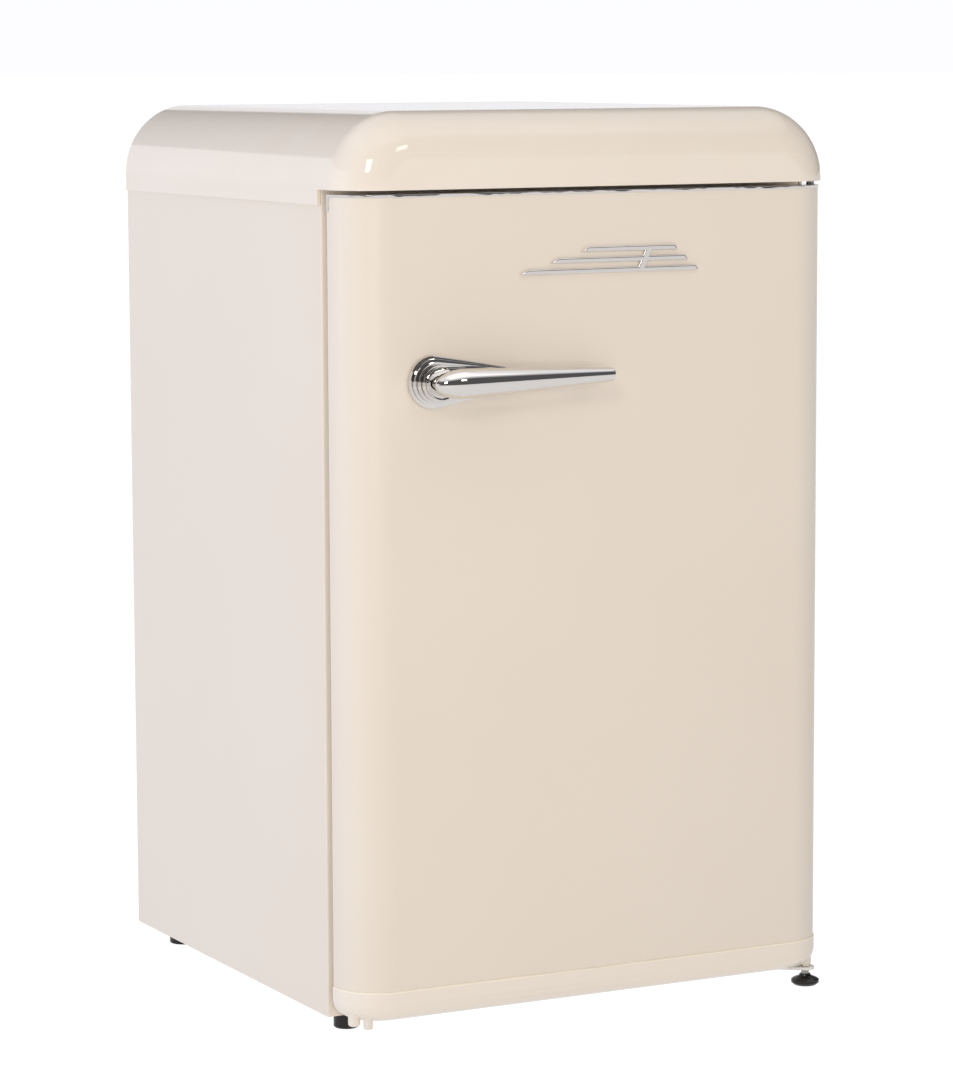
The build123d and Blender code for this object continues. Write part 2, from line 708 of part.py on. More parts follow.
def left_foot_stud():
    """Stud fixed in the bottom rail above the left front foot."""
    return chamfer(
        upright(LEFT_FOOT_X, LEFT_FOOT_Y, (STUD_END_Z, BASE_Z - 4), PIN_R).edges(), 0.6
    )


def left_front_foot():
    """Black plastic cylinder that runs on the left stud."""
    foot = upright(LEFT_FOOT_X, LEFT_FOOT_Y, (0, LEFT_FOOT_H), LEFT_FOOT_R)
    foot = chamfer(foot.edges().sort_by(Axis.Z)[0], 1.2)
    bore = (FOOT_BORE_Z, LEFT_FOOT_H + 1)
    return foot - upright(LEFT_FOOT_X, LEFT_FOOT_Y, bore, PIN_R + PIN_CLEAR)


def rear_feet():
    """Two fixed feet under the compressor's crossbar."""
    y = REAR_PANEL_Y - 17.0
    return group(upright(x, y, (0, CROSSBAR_Z), REAR_FOOT_R) for x in (-REAR_FOOT_X, REAR_FOOT_X))


# Door


def door_skin():
    """Painted steel wrapper with its back edges folded in."""
    z = (DOOR_SEAM_Z, TRIM_Z)
    back = -DOOR_GAP
    shell = door_prism(z) - door_prism((z[0] - 1, z[1] + 1), SHEET, back + 1)
    half = DOOR_W / 2
    fold = block((half - DOOR_FOLD_W, half), (back - SHEET, back), z)
    shell += both_sides(fold)
    for x, height in handle_screw_places():
        shell -= rod_y(x, (-DOOR_FRONT - 5, -DOOR_FRONT + 5), height, 2.6)
    return shell


def door_top_cap():
    """Moulded plate in the door's top, inside the chrome strip."""
    plate = door_prism((TRIM_Z, DOOR_TOP - TOP_CAP_DROP), TRIM_PROUD + TRIM_LAP)
    return plate - upright(HINGE_X, HINGE_Y, (TRIM_Z - 5, DOOR_TOP + 1), BUSH_R)


def chrome_trim():
    """Bright strip along the door's top edge, turned down at its two ends."""
    z = (TRIM_Z, DOOR_TOP)
    strip = door_prism(z, -TRIM_PROUD) - door_prism((z[0] - 1, z[1] + 1), TRIM_PROUD + TRIM_LAP)
    half = DOOR_W / 2
    leg = block(
        (half, half + TRIM_PROUD),
        (-DOOR_GAP - TRIM_LEG_W, -DOOR_GAP),
        (DOOR_TOP - TRIM_LEG_H, DOOR_TOP),
    )
    return strip + both_sides(leg)


def cap_form(inset, floor_z, back):
    """The bottom cap's rounded form, shrunk by inset."""
    form = door_prism((floor_z, DOOR_SEAM_Z), inset - CAP_PROUD, back)
    rim = [
        edge
        for edge in form.edges().group_by(Axis.Z)[0]
        if edge.center().Y < back - 0.1
    ]
    return fillet(rim, CAP_EDGE_R - inset)


def door_bottom_cap():
    """Moulded cap that closes the door below the seam, rounded under its edge."""
    outer = cap_form(0, DOOR_CAP_Z, -DOOR_GAP)
    lip = [
        edge
        for edge in outer.edges().group_by(Axis.Z)[-1]
        if edge.center().Y < -DOOR_GAP - 0.1
    ]
    outer = fillet(lip, 0.7)
    inner = cap_form(CAP_WALL, DOOR_CAP_Z + CAP_WALL, -DOOR_GAP - CAP_WALL)
    cap = outer - inner - Pos(0, 0, 1) * inner
    for x in (-HINGE_X, HINGE_X):
        cap -= upright(x, HINGE_Y, (0, DOOR_SEAM_Z), BUSH_R)
    return cap - upright(STOP_X, STOP_Y, (0, DOOR_SEAM_Z), STOP_R)


def door_pegs():
    """White plug in the spare hinge hole, and the door's stop peg beside it."""
    plug = upright(-HINGE_X, HINGE_Y, (DOOR_CAP_Z - 5, DOOR_CAP_Z + BUSH_L), BUSH_R)
    peg = upright(STOP_X, STOP_Y, (STOP_Z, DOOR_CAP_Z + BUSH_L), STOP_R)
    plug = fillet(plug.edges().sort_by(Axis.Z)[0], 3.0)
    return group([plug, fillet(peg.edges().sort_by(Axis.Z)[0], 0.8)])


def hinge_bush(z, nose=0.0):
    """Bearing sleeve for a hinge pin over the span z, with a slimmer nose below."""
    sleeve = upright(HINGE_X, HINGE_Y, z, BUSH_R)
    if nose:
        sleeve += upright(HINGE_X, HINGE_Y, (z[0] - nose, z[0]), BUSH_R - 1.0)
    return sleeve - upright(HINGE_X, HINGE_Y, (z[0] - nose - 1, z[1] + 1), PIN_R + PIN_CLEAR)


def hinge_bushes():
    """The door's upper and lower bearing sleeves."""
    upper = hinge_bush((SOFFIT_Z - BUSH_L, DOOR_TOP - TOP_CAP_DROP))
    return group([upper, hinge_bush((DOOR_CAP_Z, DOOR_CAP_Z + BUSH_L), nose=2.7)])


def dyke_ring(shrink=0.0):
    """The raised frame of the door liner that reaches into the cavity."""
    half = DYKE_X - shrink
    low, high = DYKE_Z
    outer = block(
        (-half, half), (-DOOR_GAP, DYKE_REACH - shrink), (low + shrink, high - shrink)
    )
    corners = [(x, z) for x in (-half, half) for z in (low + shrink, high - shrink)]
    outer = rounded(outer, Axis.Y, corners, DYKE_CORNER_R - shrink)
    open_half = DYKE_X - DYKE_W + shrink
    opening = block(
        (-open_half, open_half),
        (-DOOR_GAP - 1, DYKE_REACH + 1),
        (low + DYKE_W - shrink, high - DYKE_W + shrink),
    )
    return outer - opening


def bin_lugs():
    """Lugs on the dykes that the door bins hang on."""
    inner = DYKE_X - DYKE_W
    lugs = []
    for name, z in BIN_ZS.items():
        lug_z = z + BIN_HEIGHTS[name] - LUG_DROP
        lug_y = (LUG_BACK, LUG_BACK + LUG_W)
        lugs.append(block((inner - LUG_OUT, inner + 1), lug_y, (lug_z, lug_z + LUG_H)))
    return both_sides(sum(lugs[1:], lugs[0]))


def door_liner():
    """Formed liner of the door: flat rim, dyke frame and bin lugs."""
    half = DOOR_W / 2 - 4.5
    plate = block((-half, half), (-DOOR_GAP, PAN_Y), (DOOR_SEAM_Z, TRIM_Z))
    return plate + dyke_ring() - dyke_ring(LINER) + bin_lugs()


def door_foam():
    """Foam that fills the door and the dykes."""
    back = -DOOR_GAP - SHEET
    fill = door_prism((DOOR_SEAM_Z, TRIM_Z), SHEET, back)
    half = DOOR_W / 2 - DOOR_FOLD_W
    bridge = block((-half, half), (back, -DOOR_GAP), (DOOR_SEAM_Z, TRIM_Z))
    fill = fill + bridge + dyke_ring(LINER)
    bush = upright(HINGE_X, HINGE_Y, (SOFFIT_Z - BUSH_L, SOFFIT_Z), BUSH_R)
    return fill - bush - group(screw_bosses())


def gasket():
    """Soft magnetic seal around the door's back."""
    outer_x = CAVITY_X + GASKET_MARGIN
    low = CAVITY_FLOOR - GASKET_MARGIN
    high = CAVITY_TOP + GASKET_MARGIN
    y = (PAN_Y, -GASKET_CLEAR)
    ring = block((-outer_x, outer_x), y, (low, high))
    corners = [(x, z) for x in (-outer_x, outer_x) for z in (low, high)]
    ring = rounded(ring, Axis.Y, corners, GASKET_CORNER_R)
    inner = outer_x - GASKET_W
    return ring - block((-inner, inner), (y[0] - 1, 1), (low + GASKET_W, high - GASKET_W))


# Handle and ornament


def handle_screw_places():
    """Two screws through the skin into the handle."""
    return [(ROSETTE_X, HANDLE_Z), (lever_tip_x() - POST_INSET, HANDLE_Z + LEVER_RISE)]


def lever_tip_x():
    return ROSETTE_X + LEVER_L


def tear_drop(radius, tail):
    """Outline of a step: a round head that narrows to a tail."""
    head = Pos(ROSETTE_X, HANDLE_Z) * Circle(radius)
    end = Pos(TAIL_X, HANDLE_Z + 1) * Circle(tail)
    return make_hull(head.edges() + end.edges())


def handle_rosette():
    """Stepped teardrop base of the handle."""
    base = None
    for n in range(ROSETTE_STEPS):
        face = tear_drop(ROSETTE_R - n * STEP_IN, TAIL_R - n * STEP_IN * 0.6)
        start = DOOR_FRONT + n * STEP_H - (2.5 if n == 0 else 0)
        depth = DOOR_FRONT + (n + 1) * STEP_H - start
        step = extrude(Plane.XZ.offset(start) * face, depth)
        base = step if base is None else base + step
    seat = (ROSETTE_X - ROSETTE_R - 5, TAIL_X + TAIL_R + 5)
    flat_side = behind_front(seat, (HANDLE_Z - HANDLE_BAND, HANDLE_Z + HANDLE_BAND))
    bore = rod_y(ROSETTE_X, (-DOOR_FRONT - 12, -DOOR_FRONT + 6), HANDLE_Z, SCREW_R)
    return base - flat_side - bore - lever_bar()


def lever_bar():
    """Tapered round bar with a bulb nose and a blunt tip."""
    slope = (LEVER_R - LEVER_TIP_R) / LEVER_L
    outline = [
        Line((-LEVER_R, 0), (LEVER_L, 0)),
        Line((LEVER_L, 0), (LEVER_L, LEVER_TIP_R)),
        Line((LEVER_L, LEVER_TIP_R), (0, LEVER_R)),
        ThreePointArc(
            (0, LEVER_R), (-LEVER_R * sqrt(0.5), LEVER_R * sqrt(0.5)), (-LEVER_R, 0)
        ),
    ]
    bar = revolve(make_face(outline), Axis.X)
    tip = [edge for edge in bar.edges() if edge.center().X > LEVER_L - 0.1]
    bar = fillet(tip, 1.6)
    tilt = -LEVER_RISE / LEVER_L * 180 / pi
    return Pos(ROSETTE_X, LEVER_Y, HANDLE_Z) * Rot(0, tilt, 0) * bar


def handle_lever():
    """The grip bar with a hidden post near its tip."""
    x, z = handle_screw_places()[1]
    post = rod_y(x, (LEVER_Y, -DOOR_FRONT + 3), z, POST_R)
    lever = lever_bar() + post - door_prism((HANDLE_Z - HANDLE_BAND, HANDLE_Z + HANDLE_BAND), 0)
    return lever - rod_y(x, (-DOOR_FRONT - 12, -DOOR_FRONT + 6), z, SCREW_R)


def screw_bosses():
    """Room for the handle screws' heads inside the door."""
    reach = HANDLE_SCREW_HEAD_R + 0.2
    return [rod_y(x, (-DOOR_FRONT, -DOOR_FRONT + 9), z, reach) for x, z in handle_screw_places()]


def handle_screws():
    """Two screws from inside the skin into the handle."""
    screws = []
    for x, z in handle_screw_places():
        inside = front_y(abs(x) + HANDLE_SCREW_HEAD_R) + SHEET
        head = rod_y(x, (inside, inside + 3), z, HANDLE_SCREW_HEAD_R)
        shank = rod_y(x, (-DOOR_FRONT - 11, inside), z, HANDLE_SCREW_R)
        screws.append(head + shank)
    return group(screws)


def door_ornament():
    """Plain chrome speed-line ornament: three slanted bars that grow longer downwards."""
    bars = []
    pitch = (BADGE_H - BADGE_BAR_H) / (BADGE_BARS - 1)
    for n in range(BADGE_BARS):
        z = BADGE_Z - BADGE_H / 2 + n * pitch
        left = BADGE_X - BADGE_W / 2 + n * BADGE_STAGGER
        right = BADGE_X + BADGE_W / 2 - n * BADGE_TAPER
        corners = [(left, z), (right, z), (right - 4, z + BADGE_BAR_H), (left + 10, z + BADGE_BAR_H)]
        bars.append(make_face(Polyline(*corners, close=True)))
    spine = make_face(
        Polyline(
            (BADGE_X + 30, BADGE_Z - BADGE_H / 2),
            (BADGE_X + 38, BADGE_Z - BADGE_H / 2),
            (BADGE_X + 50, BADGE_Z + BADGE_H / 2),
            (BADGE_X + 42, BADGE_Z + BADGE_H / 2),
            close=True,
        )
    )
    face = spine
    for bar in bars:
        face += bar
    plate = extrude(Plane.XZ.offset(DOOR_FRONT - 2) * face, 2 + BADGE_T)
    return plate - door_prism((BADGE_Z - 40, BADGE_Z + 40), 0)


# Door bins and what they hold


def door_bin(name):
    """Clear bin with ears that hook over the door liner's lugs."""
    z = BIN_ZS[name]
    height = BIN_HEIGHTS[name]
    outer = block((-BIN_X, BIN_X), (BIN_BACK, BIN_FRONT), (z, z + height))
    front = [(-BIN_X, BIN_FRONT), (BIN_X, BIN_FRONT)]
    outer = rounded(outer, Axis.Z, front, BIN_CORNER_R)
    wall = BIN_WALL
    inner = block(
        (-BIN_X + wall, BIN_X - wall), (BIN_BACK + wall, BIN_FRONT - wall), (z + wall, z + height + 1)
    )
    near = [(-BIN_X + wall, BIN_FRONT - wall), (BIN_X - wall, BIN_FRONT - wall)]
    inner = rounded(inner, Axis.Z, near, BIN_CORNER_R - wall)
    ear_x = (BIN_X - wall, DYKE_X - DYKE_W - 2)
    lug_z = z + height - LUG_DROP
    lug_y = (LUG_BACK, LUG_BACK + LUG_W)
    ear = block(ear_x, (lug_y[0] - 6, lug_y[1] + 6), (lug_z - 8, lug_z + LUG_H + 6))
    slot = block(
        (DYKE_X - DYKE_W - LUG_OUT - LUG_FIT, ear_x[1] + 1),
        (lug_y[0] - LUG_FIT, lug_y[1] + LUG_FIT),
        (lug_z - 9, lug_z + LUG_H),
    )
    return outer + both_sides(ear) - inner - both_sides(slot)


def egg_rack():
    """Rack with round seats that stands in the upper bin."""
    floor = BIN_ZS["upper"] + BIN_WALL + 0.3
    y = (BIN_BACK + BIN_WALL + 2, BIN_FRONT - BIN_WALL - 2)
    inside = RACK_HALF - RACK_WALL
    body = block((-RACK_HALF, RACK_HALF), y, (floor, floor + RACK_H))
    body -= block(
        (-inside, inside), (y[0] + RACK_WALL, y[1] - RACK_WALL), (floor - 1, floor + RACK_H - RACK_WALL)
    )
    middle = (y[0] + y[1]) / 2
    for row in (-0.5, 0.5):
        for column in (-1.5, -0.5, 0.5, 1.5):
            place = (column * EGG_PITCH, middle + row * EGG_ROW_PITCH)
            body -= upright(*place, (floor + 10, floor + 30), EGG_R)
    return body


def bottle_clip():
    """Saddle that slides on the lower bin's front wall and steadies bottles."""
    top = BIN_ZS["lower"] + BIN_LOW_H
    groove = (BIN_FRONT - BIN_WALL - CLIP_GAP, BIN_FRONT + CLIP_GAP)
    height = (top - CLIP_DROP, top + CLIP_GAP + CLIP_WALL)
    saddle = block((-CLIP_HALF, CLIP_HALF), (groove[0] - CLIP_WALL, groove[1] + CLIP_WALL), height)
    saddle -= block((-CLIP_HALF - 1, CLIP_HALF + 1), groove, (height[0] - 1, top + CLIP_GAP))
    finger = block((-1.5, 1.5), (BIN_FRONT - CLIP_FINGER, groove[0] - CLIP_WALL), height)
    return saddle + finger


# Shelves and crisper


def shelf_glass(z):
    return block((-SHELF_X, SHELF_X), (SHELF_FRONT, SHELF_BACK), (z, z + GLASS_T))


def edge_trim(z, y, lip):
    """U-shaped trim pushed over a glass edge; lip is how far it rises."""
    half = SHELF_X - LEDGE_W - 2
    low = z - 2.0
    trim = block((-half, half), y, (low, z + GLASS_T + lip))
    glass = shelf_glass(z)
    return trim - glass


def shelf_trims():
    """Front and rear trims of the two glass shelves."""
    trims = []
    for z in SHELF_ZS.values():
        trims.append(edge_trim(z, (SHELF_FRONT - 3, SHELF_FRONT + 9), 2.0))
        trims.append(edge_trim(z, (SHELF_BACK - 9, SHELF_BACK + 3), 12.0))
    return group(trims)


def crisper_drawer():
    """Clear drawer for vegetables with a grip lip."""
    half = CAVITY_X - LEDGE_W - CRISPER_CLEAR
    y = (SHELF_FRONT + 4, HUMP_Y - CRISPER_CLEAR)
    z = (CAVITY_FLOOR + CRISPER_RUNNER, COVER_Z - LEDGE_H - CRISPER_CLEAR)
    wall = CRISPER_WALL
    outer = block((-half, half), y, z)
    corners = [(-half, y[0]), (half, y[0]), (-half, y[1]), (half, y[1])]
    outer = rounded(outer, Axis.Z, corners, CRISPER_CORNER_R)
    inner = block((-half + wall, half - wall), (y[0] + wall, y[1] - wall), (z[0] + wall, z[1] + 1))
    near = [(x, v) for x in (-half + wall, half - wall) for v in (y[0] + wall, y[1] - wall)]
    inner = rounded(inner, Axis.Z, near, CRISPER_CORNER_R - wall)
    width = (-CRISPER_GRIP, CRISPER_GRIP)
    grip = block(width, (y[0] - 9, y[0] + 1), (z[1] - 6, z[1] - 3))
    grip += block(width, (y[0] - 9, y[0] - 6), (z[1] - 20, z[1] - 3))
    runner = block((half - 70, half - 64), (y[0] + 16, y[1] - 16), (CAVITY_FLOOR, z[0] + 1))
    return outer - inner + grip + both_sides(runner)


# Thermostat, lamp and door switch


def housing_cover():
    """Moulded cover of the thermostat and the lamp, open towards the wall."""
    x = (HOUSING_X, CAVITY_X)
    y = (HOUSING_Y, HOUSING_Y + HOUSING_L)
    z = (HOUSING_Z, HOUSING_Z + HOUSING_H)
    wall = HOUSING_WALL
    shell = block(x, y, z)
    shell = rounded(shell, Axis.Z, [(x[0], y[0]), (x[0], y[1])], HOUSING_CORNER_R)
    hollow = block((x[0] + wall, x[1] + 1), (y[0] + wall, y[1] - wall), (z[0] + wall, z[1] - wall))
    shell -= hollow
    shell -= rod_x((x[0] - 1, x[0] + 5), KNOB_Y, KNOB_Z, KNOB_SHAFT_R + 1)
    return shell - lamp_window(0.3)


def lamp_window(clear=0.0):
    """Window in the cover in front of the bulb."""
    y = (HOUSING_Y + 74 - clear, HOUSING_Y + HOUSING_L - 14 + clear)
    z = (HOUSING_Z + 10 - clear, HOUSING_Z + HOUSING_H - 10 + clear)
    return block((HOUSING_X - 1.0 - clear, HOUSING_X + HOUSING_WALL + clear), y, z)


def control_block():
    """Thermostat with the knob's shaft bore, and the lamp socket, on one back plate."""
    body = block(
        (HOUSING_X + 8, CAVITY_X - 4), (KNOB_Y - 18, KNOB_Y + 18), (KNOB_Z - 16, KNOB_Z + 16)
    )
    socket_end = HOUSING_Y + HOUSING_L - HOUSING_WALL
    body += block((CAVITY_X - 4, CAVITY_X), (KNOB_Y - 18, socket_end), (KNOB_Z - 16, KNOB_Z + 16))
    socket = (socket_end - 21.5, socket_end)
    body += block((CAVITY_X - 27, CAVITY_X), socket, (KNOB_Z - 13, KNOB_Z + 13))
    body -= rod_y(LAMP_X, (socket[0] - 1, socket[0] + 14), KNOB_Z, LAMP_BASE_R + SEAT_CLEAR)
    bore = rod_x((HOUSING_X + 7, HOUSING_X + 18), KNOB_Y, KNOB_Z, KNOB_SHAFT_R + PIN_CLEAR)
    return body - bore


def thermostat_knob():
    """Round knob with a grip ridge and its shaft."""
    x = (HOUSING_X - KNOB_L - 0.4, HOUSING_X - 0.4)
    dial = rod_x((x[1] - 5, x[1]), KNOB_Y, KNOB_Z, KNOB_R)
    ridge = block((x[0], x[1] - 4), (KNOB_Y - 4, KNOB_Y + 4), (KNOB_Z - 16, KNOB_Z + 16))
    shaft = rod_x((x[1] - 1, HOUSING_X + 17), KNOB_Y, KNOB_Z, KNOB_SHAFT_R)
    return dial + ridge + shaft


def lamp_bulb():
    """Small tubular bulb screwed into the socket."""
    y = HOUSING_Y + HOUSING_L - 24
    base = rod_y(LAMP_X, (y - 4, y + 13), KNOB_Z, LAMP_BASE_R)
    glass = fillet(rod_y(LAMP_X, (y - 46, y - 4), KNOB_Z, LAMP_R).edges(), 4.0)
    return base + glass


def door_switch():
    """Lamp switch on the wall behind the door's dyke."""
    reach = (DYKE_REACH + 15, DYKE_REACH + 50)
    body = block((SWITCH_X - SWITCH_HALF, CAVITY_X), reach, (SWITCH_Z - 14, SWITCH_Z + 14))
    bore = rod_y(SWITCH_X, (DYKE_REACH + 14, DYKE_REACH + 38), SWITCH_Z, SWITCH_R + PIN_CLEAR)
    return body - bore


def switch_plunger():
    """Plunger that the closed door presses in."""
    plunger = rod_y(SWITCH_X, (DYKE_REACH + 0.4, DYKE_REACH + 30), SWITCH_Z, SWITCH_R)
    return fillet(plunger.edges().sort_by(Axis.Y)[0], 1.0)


# Cold circuit


def serpentine(half, low, pitch, passes, y):
    """Corner points of a tube that runs to and fro while it climbs."""
    points = []
    side = -1
    for n in range(passes):
        z = low + n * pitch
        points += [(side * half, y, z), (-side * half, y, z)]
        side = -side
    return points


def evaporator():
    """Cold sheet against the back of the liner, with the tube bonded behind it."""
    y = (CAVITY_BACK + LINER, CAVITY_BACK + LINER + PLATE_T)
    sheet = block((-EVAPORATOR_X, EVAPORATOR_X), y, EVAPORATOR_Z)
    low = EVAPORATOR_Z[0] + 12
    pitch = (EVAPORATOR_Z[1] - EVAPORATOR_Z[0] - 24) / 6
    points = serpentine(EVAPORATOR_X - 12, low, pitch, 7, EVAPORATOR_TUBE_Y)
    return group([sheet, pipe(points, 18.0, EVAPORATOR_R - 0.02)])


def condenser_coil():
    """Black tube: compressor, riser, serpentine behind the rear panel, filter dryer."""
    points = serpentine(COIL_HALF, COIL_Z, COIL_PITCH, COIL_PASSES, COIL_Y)
    top = points[-1][2]
    riser_x = COIL_HALF + 13
    inlet = (riser_x, COMPRESSOR_Y + 26, COMPRESSOR_Z + 85)
    points[0] = (DRYER_X, COIL_Y, COIL_Z)
    points = [
        (DRYER_X, DRYER_Y, DRYER_Z[1]),
        (DRYER_X, DRYER_Y, DRYER_Z[1] + 20),
        (DRYER_X, COIL_Y, DRYER_Z[1] + 20),
        *points[:-1],
        (riser_x, COIL_Y, top),
        (riser_x, COIL_Y, inlet[2]),
        inlet,
        (COMPRESSOR_X, *inlet[1:]),
    ]
    tube = pipe(points, [9.0] * 3 + [COIL_BEND] * (2 * COIL_PASSES - 2) + [9.0] * 3, COIL_R)
    return (tube - compressor_shell()).solids().sort_by(SortBy.VOLUME)[-1]


def condenser_wires():
    """Steel wires in front of and behind the coil, which spread its heat."""
    reach = COIL_R + WIRE_R + 0.02
    top = COIL_Z + (COIL_PASSES - 1) * COIL_PITCH + 8
    count = int((COIL_HALF - COIL_BEND - 15) // WIRE_PITCH)
    wires = []
    for n in range(-count, count + 1):
        for y in (COIL_Y - reach, COIL_Y + reach):
            wires.append(upright(n * WIRE_PITCH, y, (COIL_Z - 8, top), WIRE_R))
    return wires


def wall_spacers():
    """Plastic clips that hold the coil off the rear panel and keep the wall away."""
    x = COIL_HALF - COIL_BEND - 6
    clips = []
    for n in (1, COIL_PASSES - 2):
        z = COIL_Z + n * COIL_PITCH
        for side in (-x, x):
            clip = block((side - 4, side + 4), (REAR_PANEL_Y + SHEET, REAR_REACH), (z - 7, z + 7))
            clips.append(clip - rod_x((side - 9, side + 9), COIL_Y, z, COIL_R + SEAT_CLEAR))
    return group(clips)


def drain_tube(grow=0.0):
    """Carries meltwater from the liner's back wall to the tray on the compressor."""
    y = CAVITY_BACK + LINER + 14
    points = [
        (DRAIN_X, CAVITY_BACK, DRAIN_Z),
        (DRAIN_X, y, DRAIN_Z),
        (DRAIN_X, y, TRAY_Z + 12),
    ]
    return pipe(points, 9.0, DRAIN_R + grow)


def suction_tube(grow=0.0):
    """Returns vapour from the evaporator to the compressor."""
    y = EVAPORATOR_TUBE_Y + 8
    points = [
        (SUCTION_X, y, EVAPORATOR_Z[0] - 1),
        (SUCTION_X, y, COMPRESSOR_Z + 110),
        (COMPRESSOR_X, y, COMPRESSOR_Z + 110),
    ]
    tube = pipe(points, 18.0, SUCTION_R + grow)
    return (tube - compressor_shell()).solids().sort_by(SortBy.VOLUME)[-1]


def capillary_tube(grow=0.0):
    """Thin tube from the filter dryer up to the evaporator."""
    low = DRYER_Z[0] - 25
    points = [
        (DRYER_X, DRYER_Y, DRYER_Z[0] + 1),
        (DRYER_X, DRYER_Y, low),
        (CAPILLARY_X, DRYER_Y, low),
        (CAPILLARY_X, DRYER_Y, EVAPORATOR_Z[0] - 1),
    ]
    return pipe(points, 10.0, CAPILLARY_R + grow)


def filter_dryer():
    """Copper filter dryer with the capillary tube brazed to it."""
    body = upright(DRYER_X, DRYER_Y, DRYER_Z, DRYER_R)
    return fillet(body.edges(), 5.0) + capillary_tube()


def foam_tubes(clear):
    """The tubes that pass through the foam and the bay's roof, with clearance."""
    return [drain_tube(clear), suction_tube(clear), capillary_tube(clear)]


# Compressor bay


def compressor_crossbar():
    """Steel plate across the back that carries the compressor."""
    inside = HALF_W - SHEET
    y = (BAY_Y + 4, CABINET_D - CROSSBAR_INSET)
    deck = block((-inside, inside), y, (CROSSBAR_Z, DECK_Z))
    front = block((-inside, inside), (y[0], y[0] + CROSSBAR_T), (CROSSBAR_Z, DECK_Z + CROSSBAR_RIM))
    back = block((-inside, inside), (y[1] - CROSSBAR_T, y[1]), (CROSSBAR_Z, DECK_Z + CROSSBAR_RIM))
    return deck + front + back


def compressor_shell():
    """Welded steel shell with its seam flange and foot plate."""
    base = Pos(COMPRESSOR_X, COMPRESSOR_Y, COMPRESSOR_Z) * extrude(
        Ellipse(COMPRESSOR_HALF_X, COMPRESSOR_HALF_Y), COMPRESSOR_H
    )
    base = fillet(base.edges(), 26.0)
    seam_z = COMPRESSOR_Z + COMPRESSOR_H * 0.56
    seam = Pos(COMPRESSOR_X, COMPRESSOR_Y, seam_z) * extrude(
        Ellipse(COMPRESSOR_HALF_X + 3, COMPRESSOR_HALF_Y + 3), 4.0
    )
    return base + seam + compressor_foot_plate()


def compressor_feet_places():
    """Four grommets under the compressor's foot plate."""
    return [
        (COMPRESSOR_X + i * (COMPRESSOR_HALF_X - 6), COMPRESSOR_Y + j * (COMPRESSOR_HALF_Y - 16))
        for i in (-1, 1)
        for j in (-1, 1)
    ]


def compressor_foot_plate():
    """Pressed plate welded under the compressor."""
    plate = Pos(COMPRESSOR_X, COMPRESSOR_Y, COMPRESSOR_Z - FOOT_PLATE_T) * extrude(
        RectangleRounded(2 * COMPRESSOR_HALF_X + 14, 2 * COMPRESSOR_HALF_Y - 4, 12), FOOT_PLATE_T
    )
    for x, y in compressor_feet_places():
        plate -= upright(x, y, (COMPRESSOR_Z - 5, COMPRESSOR_Z + 1), GROMMET_NECK_R)
    return plate


def compressor_grommets():
    """Rubber mounts between the crossbar and the foot plate."""
    mounts = []
    for x, y in compressor_feet_places():
        body = upright(x, y, (DECK_Z, COMPRESSOR_Z - FOOT_PLATE_T), GROMMET_R)
        mounts.append(body + upright(x, y, (DECK_Z, COMPRESSOR_Z), GROMMET_NECK_R))
    return group(mounts)


def relay_cover():
    """Plastic cover over the compressor's starting relay."""
    x = COMPRESSOR_X + COMPRESSOR_HALF_X
    body = block(
        (x - 18, x + 34),
        (COMPRESSOR_Y - 27, COMPRESSOR_Y + 8),
        (COMPRESSOR_Z + 20, COMPRESSOR_Z + 68),
    )
    return body - compressor_shell()


def drip_tray():
    """Open tray on the compressor where meltwater dries off."""
    middle = Pos(COMPRESSOR_X, COMPRESSOR_Y, 0)
    inside = (TRAY_HALF_X - TRAY_WALL, TRAY_HALF_Y - TRAY_WALL)
    tray = block((-TRAY_HALF_X, TRAY_HALF_X), (-TRAY_HALF_Y, TRAY_HALF_Y), (TRAY_Z, TRAY_Z + TRAY_H))
    tray -= block(
        (-inside[0], inside[0]), (-inside[1], inside[1]), (TRAY_Z + TRAY_WALL, TRAY_Z + TRAY_H + 1)
    )
    return middle * tray


def cord_gland():
    """Empty gland for a mains lead, in the crossbar's back edge."""
    back = CABINET_D - CROSSBAR_INSET
    z = DECK_Z + 17
    gland = block((GLAND_X - 13, GLAND_X + 13), (back - 20, back), (DECK_Z, DECK_Z + 30))
    gland -= block((GLAND_X - 14, GLAND_X + 14), (back - CROSSBAR_T, back + 1), (0, DECK_Z + CROSSBAR_RIM))
    gland += rod_y(GLAND_X, (back - 1, back + 8), z, 8.0)
    return gland - rod_y(GLAND_X, (back - 16, back + 9), z, 4.0)


